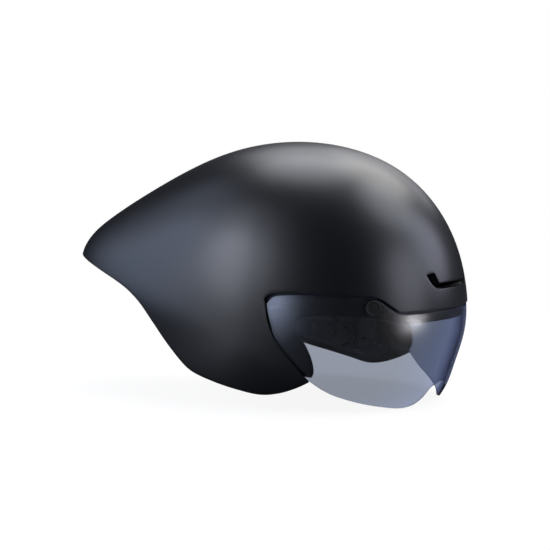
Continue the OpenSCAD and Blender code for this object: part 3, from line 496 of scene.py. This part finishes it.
PAINT = satin_paint()
SEAT_PLASTIC = moulded("seat_black_nylon", (0.0025, 0.0032, 0.006), 0.6, gloss=0.1)
TRAY_PLASTIC = moulded("undertray_black", (0.02, 0.021, 0.024), 0.55)
FITTING = moulded("fitting_black_acetal", (0.007, 0.007, 0.008), 0.42, 700, gloss=0.35)
CRADLE = moulded("cradle_black_nylon", (0.028, 0.028, 0.031), 0.52)
BAND = moulded("band_nylon", (0.038, 0.038, 0.043), 0.5)
GRIP = moulded("dial_soft_grip", (0.055, 0.055, 0.06), 0.62, 500, 0.00008)
BUTTON_CAP = moulded("button_dark_grey", (0.0045, 0.005, 0.005), 0.55, gloss=0.2)
BEAD = moulded("edge_bead_rubber", (0.008, 0.008, 0.0085), 0.65)
# Near-black matt sleeve: painted shade that keeps the inside of the vent slot dark
SHADE_DUCT = moulded("duct_painted_shade_black", (0.0025, 0.0025, 0.0028), 0.9, gloss=0.05)
FOAM = beaded_foam()
KNIT = knit("pad_charcoal_knit", (0.036, 0.037, 0.042))
WEBBING = woven("strap_black_webbing", (0.024, 0.024, 0.026))
LENS = smoke_lens()
STEEL = bright_metal("screw_steel", (0.5, 0.5, 0.52), 0.32)
NICKEL = bright_metal("magnet_nickel", (0.66, 0.65, 0.63), 0.2)
GEAR = moulded("pinion_pale_acetal", (0.55, 0.55, 0.56), 0.4)


# Outer shell: hoops run from the ridge down to the window's edge, the flap and the tail, with
# cells per row of points and per side. The vent slot is a bar between two hoops with a leg up
# each side, placed by shares of half a hoop
SHELL_ROWS = (len(WINDOW) - 1, len(RIM) - 1)
PER_ROW, PER_SIDE = 6, 50
SLOT_LOW, SLOT_HIGH, SLOT_TOP = 2, 3, 3.84
SLOT_IN, SLOT_OUT, SLOT_LEAN = 0.26, 0.36, 0.055
# Depth, wall and lap of the black sleeve that paints shade into the slot
DUCT_DEPTH, DUCT_T, DUCT_LAP = 17, 0.6, 0.3

# The tray runs from this rim row to the tail, in bands of which every second one is slotted
TRAY_ROW, TRAY_BANDS = 12.4, 9


def hoop(row, t):
    """Place at t along a hoop from the ridge to its foot; rim hoops bow forward."""
    top, foot = Vector(flat((1, row[2]))), Vector(flat(place(row)))
    v = foot - top
    bow = Vector((-v.y, v.x)).normalized() * (row[3] if len(row) > 3 else 0)
    return polar(top + v * t + bow * 2 * t * (1 - t))


def hoop_point(row, t, depth):
    return skin(hoop(row, abs(t)), depth, -1 if t < 0 else 1)


def shell_row(u):
    return along(WINDOW, u) if u <= SHELL_ROWS[0] else along(RIM, u - SHELL_ROWS[0])


def lean(u):
    """How far the slot's legs lean outwards, dying away above them."""
    return 4 * SLOT_LEAN * smooth((u - SLOT_LOW) / 2) * smooth(2 - u / SLOT_TOP)


def in_slot(s, t):
    u, c = t * sum(SHELL_ROWS), abs(2 * s - 1)
    in_bar = SLOT_LOW < u < SLOT_HIGH and c < SLOT_OUT
    in_leg = SLOT_HIGH < u < SLOT_TOP and SLOT_IN < c < SLOT_OUT
    return in_bar or in_leg


def shell_wall(depth):
    """Surface of the shell's grid at a depth."""
    def point(s, t):
        u, c = t * sum(SHELL_ROWS), 2 * s - 1
        shift = lean(u) * abs(c) * (1 - abs(c))
        return hoop_point(shell_row(u), c + math.copysign(shift, c), depth)
    return point


def outer_shell():
    """Painted shell, with the vent slot cut through the forehead."""
    bm = closed(2 * PER_SIDE, PER_ROW * sum(SHELL_ROWS), shell_wall(0), shell_wall(SHELL_T),
                keep=lambda s, t: not in_slot(s, t), corner=0.6)
    piece = finished("outer_shell_smooth", bm, "helmet", PAINT, "outer_shell")
    soften(piece, 0.75, 3, 40)
    return piece


def vent_shade_duct():
    """Painted shade in the vent slot: a black duct whose walls run in from the shell, open at both
    ends.
    """
    across, rows = 2 * PER_SIDE, PER_ROW * sum(SHELL_ROWS)
    bm = cells(across, rows, in_slot)
    edges = [e for e in bm.edges if e.is_boundary]
    wall = bmesh.ops.extrude_edge_only(bm, edges=edges)["geom"]
    deep = {v for v in wall if isinstance(v, bmesh.types.BMVert)}
    cap = [f for f in bm.faces if not any(v in deep for v in f.verts)]
    bmesh.ops.delete(bm, geom=cap, context="FACES_ONLY")
    bmesh.ops.delete(bm, geom=[v for v in bm.verts if not v.link_faces], context="VERTS")
    near, far = shell_wall(SHELL_T - DUCT_LAP), shell_wall(DUCT_DEPTH)
    for v in bm.verts:
        v.co = (far if v in deep else near)(v.co.x / across, v.co.y / rows)
    bmesh.ops.recalc_face_normals(bm, faces=bm.faces)
    piece = finished("front_vent_painted_shade_duct", bm, "helmet", SHADE_DUCT)
    wall = piece.modifiers.new("wall", "SOLIDIFY")
    wall.thickness = DUCT_T * MM
    wall.offset = 0
    return piece


def seat():
    """Moulding behind the lens: a bed at an even gap, and a flange tucked in under the shell."""
    outer, inner = from_ridge(SEAT_OUT), from_ridge(SEAT_IN)
    n = len(outer) - 1
    widths = [-1, -0.5, -0.12] + [k / 10 for k in range(11)]

    def point(s, t, extra):
        side = -1 if t < 0.5 else 1
        u = abs(2 * t - 1) * n
        o, i = along(outer, u), along(inner, u)
        w = widths[round(s * (len(widths) - 1))]
        back = SEAT_FLANGE / (Vector(skin(o, 0, 1)) - Vector(skin(i, 0, 1))).length
        p = mix(o, i, w if w > 0 else w * back)
        depth = SEAT_DEPTH
        if w < 0:
            depth = SEAT_TUCK + (SEAT_DEPTH - SEAT_TUCK) * smooth(1 + w * 1.6)
        return skin(p, depth + extra, side)

    bm = closed(len(widths) - 1, 12 * n, lambda s, t: point(s, t, 0),
                lambda s, t: point(s, t, SEAT_T))
    piece = finished("visor_seat_moulding", bm, "helmet", SEAT_PLASTIC, "visor_seat")
    soften(piece, 0.45, 3)
    return piece


def lens():
    """One-piece lens, 1 mm below the shell's outside, with its rear edge swept to the flap."""
    top, low, back = from_ridge(LENS_TOP), from_ridge(LENS_LOW), [place(r) for r in LENS_BACK]
    n = len(top) - 1

    def point(s, t, depth):
        k = abs(2 * s - 1)
        p = mix(along(top, k * n), along(low, k * n), t)
        b = along(back, t * (len(back) - 1))
        e = mix(top[n], low[n], t)
        p = tuple(c + k * k * (d - f) for c, d, f in zip(p, b, e))
        return skin((min(1, p[0]), p[1]), depth, -1 if s < 0.5 else 1)

    bm = closed(140, 50, lambda s, t: point(s, t, LENS_INSET),
                lambda s, t: point(s, t, LENS_INSET + LENS_T))
    piece = finished("visor_lens_clear", bm, "visor", LENS, "visor_lens")
    soften(piece, 0.3, 2)
    return piece


def skin_frame(share, depth, side):
    """Point and outward normal on the body."""
    p = place(share)
    here = Vector(skin(p, depth, side))
    a = Vector(skin((p[0] + 0.01, p[1]), 0, side)) - Vector(skin((p[0] - 0.01, p[1]), 0, side))
    b = Vector(skin((p[0], p[1] + 1), 0, side)) - Vector(skin((p[0], p[1] - 1), 0, side))
    n = a.cross(b).normalized()
    return here, n if n.y * side > 0 else -n


def lathe(points, steps):
    """Turned shape from (radius, height) points."""
    bm = bmesh.new()
    verts = [bm.verts.new((r, 0, z)) for r, z in points]
    edges = [bm.edges.new(pair) for pair in zip(verts, verts[1:])]
    bmesh.ops.spin(bm, geom=verts + edges, axis=(0, 0, 1), cent=(0, 0, 0), angle=math.tau,
                   steps=steps, use_merge=True)
    bmesh.ops.remove_doubles(bm, verts=bm.verts, dist=0.001)
    return face_out(bm)


# Half section of a magnet button: raised lip round a slightly domed top, hollow behind
BUTTON_SECTION = [(4.1, 0), (5.75, 0), (5.75, 1.7), (5.6, 2.1), (5.2, 2.4), (4.75, 2.4),
                  (4.5, 2.25), (4.3, 2.05), (3.6, 2.12), (2.4, 2.2), (1.2, 2.24), (0, 2.25),
                  (0, 1.7), (4.1, 1.7), (4.1, 0)]


def buttons():
    for side, name in SIDES:
        bm = lathe(BUTTON_SECTION, 72)
        here, n = skin_frame(BUTTON, LENS_INSET - BUTTON_SINK, side)
        turn = Vector((0, 0, 1)).rotation_difference(n).to_matrix().to_4x4()
        bmesh.ops.transform(bm, matrix=turn, verts=bm.verts)
        bmesh.ops.translate(bm, vec=here, verts=bm.verts)
        piece = finished("button_cap_" + name, bm, "visor", BUTTON_CAP, "button_" + name)


def foam():
    """Liner from the shell in to the pads, cut off flat at the back, open behind the vent slot."""
    n = len(FOAM_EDGE) - 1

    def outside(s, t):
        p = hoop_point(along(FOAM_EDGE, t * n), 2 * s - 1, SKINS)
        return (max(p[0], FOAM_WALL_X), p[1], p[2])

    def keep(s, t):
        u, c = t * n, abs(2 * s - 1)
        behind_bar, behind_leg = 1 < u < 2, 2 < u < 3 and c > FOAM_SLOT_IN
        return not (c < FOAM_SLOT_OUT and (behind_bar or behind_leg))

    bm = closed(100, PER_ROW * n, outside, lambda s, t: head_in_line(outside(s, t), PAD_T),
                keep=keep)
    piece = finished("foam_liner_moulding", bm, "helmet", FOAM, "foam_liner")
    soften(piece, 1.2, 3)
    return piece


def brow_foam():
    """Foam between the seat and the brow."""
    inner = from_ridge(SEAT_IN)

    def outside(s, t):
        k = abs(2 * t - 1)
        high = polar(mix(flat((1, FOAM_EDGE[0][2])), flat(place(FOAM_EDGE[0])), k))
        low = along(inner, k * 3)
        rise = math.degrees(BOND / reach(high[1]))
        return skin(mix((low[0], low[1] + rise), (high[0], high[1] - rise), s),
                    SEAT_DEPTH + SEAT_T + BOND, -1 if t < 0.5 else 1)

    bm = closed(10, 60, outside, lambda s, t: head_in_line(outside(s, t), PAD_T))
    piece = finished("brow_foam_moulding", bm, "helmet", FOAM, "brow_foam")
    soften(piece, 1, 2)
    return piece


def undertray():
    """Panel that closes the tail from below, with four cross slots."""
    def point(s, t, drop):
        u = TRAY_ROW + (len(RIM) - 1 - TRAY_ROW) * t
        p = skin(place(along(RIM, u)), SKINS + TRAY_GAP, 1)
        k = 2 * s - 1
        return (p[0], k * p[1], p[2] + TRAY_RISE + TRAY_CAMBER * (1 - k * k) - drop)

    def keep(s, t):
        return int(t * TRAY_BANDS) % 2 == 0 or abs(2 * s - 1) > 0.5

    bm = closed(48, 63, lambda s, t: point(s, t, 0), lambda s, t: point(s, t, TRAY_T), keep=keep)
    piece = finished("undertray_panel", bm, "helmet", TRAY_PLASTIC, "tail_undertray")
    soften(piece, 0.4, 2)
    return piece


def bead():
    """Rubber bead inside the shell's lower edge; the left one stands for the node of both."""
    for side, name in SIDES:
        def point(s, t, depth, side=side):
            row = along(RIM, 1 + (TRAY_ROW - 1) * t)
            near_foot = Vector(hoop_point(row, 1, 0)) - Vector(hoop_point(row, 0.9, 0))
            length = near_foot.length * 10
            return skin(hoop(row, 1 - s * BEAD_W / length), depth, side)

        bm = closed(4, 120, lambda s, t: point(s, t, SKINS),
                    lambda s, t: point(s, t, SKINS + BEAD_T))
        nodes = ["rim_bead"] if side > 0 else []
        piece = finished("edge_bead_" + name, bm, "helmet", BEAD, *nodes)
        soften(piece, 0.9, 3)


def crown(s, q, channels):
    """Height of a cushion at s, q from -1 to 1, drawn in along its sewn channels."""
    dip = abs(math.cos(math.pi / 2 * channels * (s + 1))) ** 10
    edge = (1 - s ** 6) * (1 - q ** 6)
    return edge ** 0.6 * (1 - 0.45 * dip * (1 - 0.3 * q * q))


def cushion(name, across, along_it, base, raised, height, channels, uv, body, *nodes):
    """Pad between base(s, q) and raised(s, q, lift), both of s and q from -1 to 1."""
    def face(a, b):
        s, q = 2 * b - 1, 2 * a - 1
        return raised(s, q, height * crown(s, q, channels))

    bm = closed(across, along_it, face, lambda a, b: base(2 * b - 1, 2 * a - 1), uv=uv)
    piece = finished(name, bm, body, KNIT, *nodes)
    soften(piece, 0.35, 2, 60)
    return piece


def head_at(az, el, off):
    """Point on the head at a bearing and a height angle, off its surface."""
    a, e = math.radians(az), math.radians(el)
    x, y, z = (h + off for h in HEAD)
    return (x * math.cos(e) * math.cos(a), y * math.cos(e) * math.sin(a), z * math.sin(e))


def head_pads():
    """Brow and side pads by bearing and height angle, and three strips over the crown."""
    def pad(name, az, el, channels, size, *nodes):
        def at(s, q, off):
            return head_at(az[0] + (az[1] - az[0]) * (s + 1) / 2,
                           el[0] + (el[1] - el[0]) * (q + 1) / 2, off)

        cushion(name, 14, 90, lambda s, q: at(s, q, PAD_OUT),
                lambda s, q, lift: at(s, q, PAD_OUT - PAD_EDGE - lift), PAD_OUT - PAD_EDGE,
                channels, size, "helmet", *nodes)

    pad("brow_pad_cushion", (-46, 46), (8, 14.5), 7, (14, 150), "brow_pad")
    pad("side_pad_right_cushion", (-126, -86), (14, 26), 3, (22, 60), "side_pad_right")
    pad("side_pad_left_cushion", (126, 86), (14, 26), 3, (22, 60), "side_pad_left")
    length, half, pitch, back = CROWN_STRIP
    for k, name in ((-1, "right"), (0, "middle"), (1, "left")):
        def top(s, q, off, k=k):
            x, y = back + length * (s + 1) / 2, pitch * k + half * q
            a, b, c = (h + off for h in HEAD)
            return (x, y, c * math.sqrt(1 - (x / a) ** 2 - (y / b) ** 2))

        nodes = ["crown_pads"] if k == 0 else []
        cushion("crown_pad_%s_cushion" % name, 16, 90, lambda s, q: top(s, q, PAD_OUT),
                lambda s, q, lift: top(s, q, PAD_OUT - PAD_EDGE - lift), PAD_OUT - PAD_EDGE,
                5, (2 * half, length), "helmet", *nodes)


def flap_pads():
    """Cheek cushions on the inside of the flaps."""
    n = len(FLAP_LOW) - 1
    for side, name in SIDES:
        def at(s, q, depth, side=side):
            u = (s + 1) / 2 * n
            low, high = flat(place(along(FLAP_LOW, u))), flat(place(along(FLAP_HIGH, u)))
            return skin(polar(mix(low, high, (q + 1) / 2)), depth, side)

        cushion("flap_pad_%s_cushion" % name, 30, 90, lambda s, q: at(s, q, FLAP_PAD_OUT),
                lambda s, q, lift: at(s, q, FLAP_PAD_OUT + PAD_EDGE + lift),
                FLAP_PAD_T - PAD_EDGE, 4, (34, 88), "helmet", "flap_pad_" + name)


def foam_back(z):
    return -(HEAD[0] + PAD_T) * math.sqrt(1 - (z / (HEAD[2] + PAD_T)) ** 2)


def on_cradle(x, y, z):
    """Point of the cradle's own frame, on its tilted rail, in the helmet's frame."""
    tilt = math.atan2(foam_back(RAIL_HIGH) - foam_back(RAIL_LOW), RAIL_HIGH - RAIL_LOW)
    c, s = math.cos(tilt), math.sin(tilt)
    return (x * c + z * s + foam_back(RAIL_LOW), y, z * c - x * s + RAIL_LOW)


def fit_pads():
    """Cushions of the cradle and of the two bands that close round the back of the head."""
    def face(s, q, lift):
        return on_cradle(CRADLE_FACE + lift, CRADLE_PAD[0] * s, RACK_Z + CRADLE_PAD[1] * q)

    cushion("cradle_pad_cushion", 24, 60, lambda s, q: face(s, q, 0),
            lambda s, q, lift: face(s, q, PAD_EDGE / 2 + lift), 2.6, 3, (26, 42),
            "cradle", "cradle_pad")
    for side, name in SIDES:
        def arm(s, q, lift, side=side):
            k = ARM_PAD_RUN[0] + (ARM_PAD_RUN[1] - ARM_PAD_RUN[0]) * (s + 1) / 2
            v = (Vector(along(ARM, k + 0.1)) - Vector(along(ARM, k - 0.1))).normalized()
            x, y = Vector(along(ARM, k)) + Vector((v.y, -v.x)) * (ARM_SKIN + lift)
            rack = RACK_Z + side * RACK_APART
            middle = rack + (ARM_HIGH - rack) * smooth((x - ARM_X) / ARM_RISE)
            half = ARM_THIN + (ARM_WIDE - ARM_THIN) * smooth((x - ARM_X) / ARM_WIDEN)
            return on_cradle(x, side * y, middle + q * (half - 1))

        cushion("band_pad_%s_cushion" % name, 18, 70, lambda s, q: arm(s, q, 0),
                lambda s, q, lift: arm(s, q, PAD_EDGE / 2 + lift), 2.4, 4, (14, 50),
                name + "_band", "band_pad_" + name)


def strap_point(s, depth, side):
    """On the foam's inner face down to its edge, then on the flap pad."""
    p, hug = place(s), smooth((s[1] - HUG_FROM) / HUG_OVER)
    on_flap = skin(p, FLAP_PAD_IN + depth, side)
    return mix(on_flap, head_in_line(skin(p, SKINS, side), PAD_OUT - depth), hug)


def webbing(name, path, thickness, node_name):
    """Flat strap laid along a path of places."""
    n = len(path) - 1
    side = 1 if name.endswith("left") else -1

    def point(s, t, extra):
        u = t * n
        row = along(path, u)
        a, b = along(path, max(0, u - 0.1)), along(path, min(n, u + 0.1))
        v = Vector(((b[0] - a[0]) * HALF_L, (b[1] - a[1]) * CROWN_Z)).normalized()
        k = (s - 0.5) * STRAP_W
        return strap_point((row[0] - v.y * k / HALF_L, row[1] + v.x * k / CROWN_Z), extra, side)

    bm = closed(8, 20 * n, lambda s, t: point(s, t, 0), lambda s, t: point(s, t, thickness),
                uv=(STRAP_W, STRAP_STEP * n))
    piece = finished(name, bm, "helmet", WEBBING, node_name)
    soften(piece, 0.3, 2)
    return piece


def straps():
    """Front, rear and chin straps; the chin strap is folded double."""
    for side in ("right", "left"):
        webbing("front_webbing_" + side, FRONT_STRAP, STRAP_T, "front_strap_" + side)
        webbing("rear_webbing_" + side, REAR_STRAP, STRAP_T, "rear_strap_" + side)
        webbing("chin_webbing_" + side, CHIN_STRAP, 2 * STRAP_T, "chin_strap_" + side)


def dress(material, *names):
    """A shown CAD node's own finish."""
    for name in names:
        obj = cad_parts[name]
        obj.data.materials.clear()
        obj.data.materials.append(material)


outer_shell()
vent_shade_duct()
seat()
lens()
buttons()
foam()
brow_foam()
undertray()
bead()
head_pads()
flap_pads()
fit_pads()
straps()
dress(FITTING, "strap_anchors", "strap_divider_left", "strap_divider_right", "buckle_socket",
      "buckle_plug", "height_rail")
dress(NICKEL, "seat_magnets", "lens_magnets")
dress(CRADLE, "cradle_yoke", "dial_cover")
dress(STEEL, "cover_screws", "axle_screw")
dress(BAND, "band_left", "band_right")
dress(GRIP, "dial_knob")
dress(GEAR, "pinion")


# Studio, in m. The floor lies a gap under the helmet, and its shadow fades out over a reach
FLOOR_GAP = 0.0005
SHADOW_REACH, SHADOW_SHOWN = (0.15, 0.7), (0.9, 1)
# Round soft lamps by bearing, height angle, power and colour, with their width and distance.
# The far ones light all, and the near ones only the lens and its seat
FAR, NEAR = (0.8, 1.25), (0.11, 0.45)
LAMP_AIM = Vector((-0.02, 0, 0.04))
LAMPS = [
    ("flank_softbox", 234, 15, 9.4, (0.9, 0.92, 1), FAR),
    ("low_front_softbox", -4, -8, 1.5, (1, 0.97, 1), NEAR),
    ("flank_high_softbox", 230, 33, 3.2, (0.87, 0.89, 1), FAR),
    ("front_softbox", 34, 22, 6, (0.84, 0.85, 1), FAR),
    ("brow_softbox", 24, 54, 7, (0.92, 0.94, 1), FAR),
    ("far_top_softbox", 72, 54, 7.6, (1, 0.98, 0.91), FAR),
    ("far_side_softbox", 90, 33, 2.3, (0.94, 0.94, 1), FAR),
    ("crown_softbox", 135, 74, 6.9, (0.97, 0.97, 1), FAR),
    ("rear_top_softbox", 120, 54, 3.6, (0.95, 0.96, 1), FAR),
    ("tail_softbox", 200, 12, 3.3, (0.63, 0.75, 1), FAR),
    ("tail_high_softbox", 190, 33, 1.6, (0.72, 0.8, 1), FAR),
    ("window_softbox", 262, 1, 1, (0.62, 0.73, 1), NEAR),
    ("brow_low_softbox", 356, 13, 6, (0.92, 0.92, 1), FAR),
]
# Camera fitted to the photo: its aim, its distance, the angles to the side and up, and its lens
CAMERA_AIM, CAMERA_AWAY = Vector((-28.3, 0, 35.9)) * MM, 1.5
CAMERA_SIDE, CAMERA_UP, FOCAL_LENGTH = 28.1, 5.75, 125.6


def seen_by_camera(owner):
    """1 for a camera ray, and for one that has only passed through the lens."""
    rays = node(owner, "ShaderNodeLightPath").outputs
    through = node(owner, "ShaderNodeMath", operation="SUBTRACT", use_clamp=True)
    link(owner, rays["Is Transmission Ray"], through.inputs[0])
    link(owner, rays["Diffuse Depth"], through.inputs[1])
    most = node(owner, "ShaderNodeMath", operation="MAXIMUM")
    link(owner, rays["Is Camera Ray"], most.inputs[0])
    link(owner, through.outputs[0], most.inputs[1])
    return most.outputs[0]


def floor_white():
    """White to the camera with a faint shadow, and clear to fill light and from below."""
    mat = material("floor_white", (0.02, 0.02, 0.02), 0.9)
    away = node(mat, "ShaderNodeVectorMath", operation="LENGTH")
    link(mat, coordinates(mat), away.inputs[0])
    fade = node(mat, "ShaderNodeMapRange")
    limits = zip(("From Min", "From Max", "To Min", "To Max"), SHADOW_REACH + SHADOW_SHOWN)
    for socket, value in limits:
        fade.inputs[socket].default_value = value
    link(mat, away.outputs["Value"], fade.inputs["Value"])
    seen = blend(mat, fade.outputs["Result"], node(mat, "ShaderNodeBsdfDiffuse").outputs[0],
                 node(mat, "ShaderNodeEmission", Strength=1.0).outputs[0])
    unseen = blend(mat, node(mat, "ShaderNodeLightPath").outputs["Is Diffuse Ray"],
                   shader_of(mat).outputs[0],
                   node(mat, "ShaderNodeBsdfTransparent").outputs[0])
    above = blend(mat, seen_by_camera(mat), unseen, seen)
    both = blend(mat, node(mat, "ShaderNodeNewGeometry").outputs["Backfacing"], above,
                 node(mat, "ShaderNodeBsdfTransparent").outputs[0])
    link(mat, both, mat.node_tree.nodes["Material Output"].inputs["Surface"])
    return mat


def floor():
    """Level floor just under the lowest piece."""
    bm = bmesh.new()
    bmesh.ops.create_grid(bm, x_segments=1, y_segments=1, size=6)
    bmesh.ops.translate(bm, vec=(0, 0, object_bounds()[0].z - FLOOR_GAP), verts=bm.verts)
    mesh = bpy.data.meshes.new("floor")
    bm.to_mesh(mesh)
    bm.free()
    ground = bpy.data.objects.new("floor", mesh)
    bpy.context.scene.collection.objects.link(ground)
    ground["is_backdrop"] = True
    mesh.materials.append(floor_white())


def backdrop():
    """White to the camera, with a fill for diffuse rays and little for reflections."""
    world = bpy.data.worlds.new("studio")
    bpy.context.scene.world = world
    world.use_nodes = True
    sky = world.node_tree.nodes["Background"]
    sky.inputs["Color"].default_value = (0.8, 0.86, 1, 1)
    fill = node(world, "ShaderNodeMath", operation="MULTIPLY_ADD")
    link(world, node(world, "ShaderNodeLightPath").outputs["Is Diffuse Ray"], fill.inputs[0])
    fill.inputs[1].default_value, fill.inputs[2].default_value = 0.6, 0.015
    link(world, fill.outputs[0], sky.inputs["Strength"])
    white = node(world, "ShaderNodeBackground", Color=(1, 1, 1, 1), Strength=1.0)
    both = blend(world, seen_by_camera(world), sky.outputs[0], white.outputs[0])
    link(world, both, world.node_tree.nodes["World Output"].inputs["Surface"])


def aimed(obj, aim, direction, distance):
    """Object at a distance from its aim, turned to face it."""
    obj.location = aim + direction * distance
    obj.rotation_mode = "QUATERNION"
    obj.rotation_quaternion = (-direction).to_track_quat("-Z", "Y")
    bpy.context.scene.collection.objects.link(obj)
    return obj


def lamps():
    """Lamps of the table, which the camera doesn't see."""
    on_lens = bpy.data.collections.new("on_lens")
    for name in ("visor_lens_clear", "visor_seat_moulding"):
        on_lens.objects.link(bpy.data.objects[name])
    for name, bearing, height, power, colour, stand in LAMPS:
        data = bpy.data.lights.new(name, "AREA")
        data.shape = "DISK"
        data.size, distance = stand
        data.energy = power
        data.color = colour
        az, up = math.radians(bearing), math.radians(height)
        away = Vector((math.cos(up) * math.cos(az), math.cos(up) * math.sin(az), math.sin(up)))
        lamp = aimed(bpy.data.objects.new(name, data), LAMP_AIM, away, distance)
        lamp.visible_camera = False
        if stand == NEAR:
            lamp.light_linking.receiver_collection = on_lens


def camera():
    """Camera of the photo's view."""
    data = bpy.data.cameras.new("camera")
    data.lens = FOCAL_LENGTH
    data.sensor_width = 36
    data.clip_start = 0.05
    a, e = math.radians(CAMERA_SIDE), math.radians(CAMERA_UP)
    back = Vector((math.sin(a) * math.cos(e), -math.cos(a) * math.cos(e), math.sin(e)))
    bpy.context.scene.camera = aimed(bpy.data.objects.new("camera", data), CAMERA_AIM, back,
                                     CAMERA_AWAY)


bpy.context.scene.view_settings.view_transform = "Standard"
floor()
backdrop()
lamps()
camera()
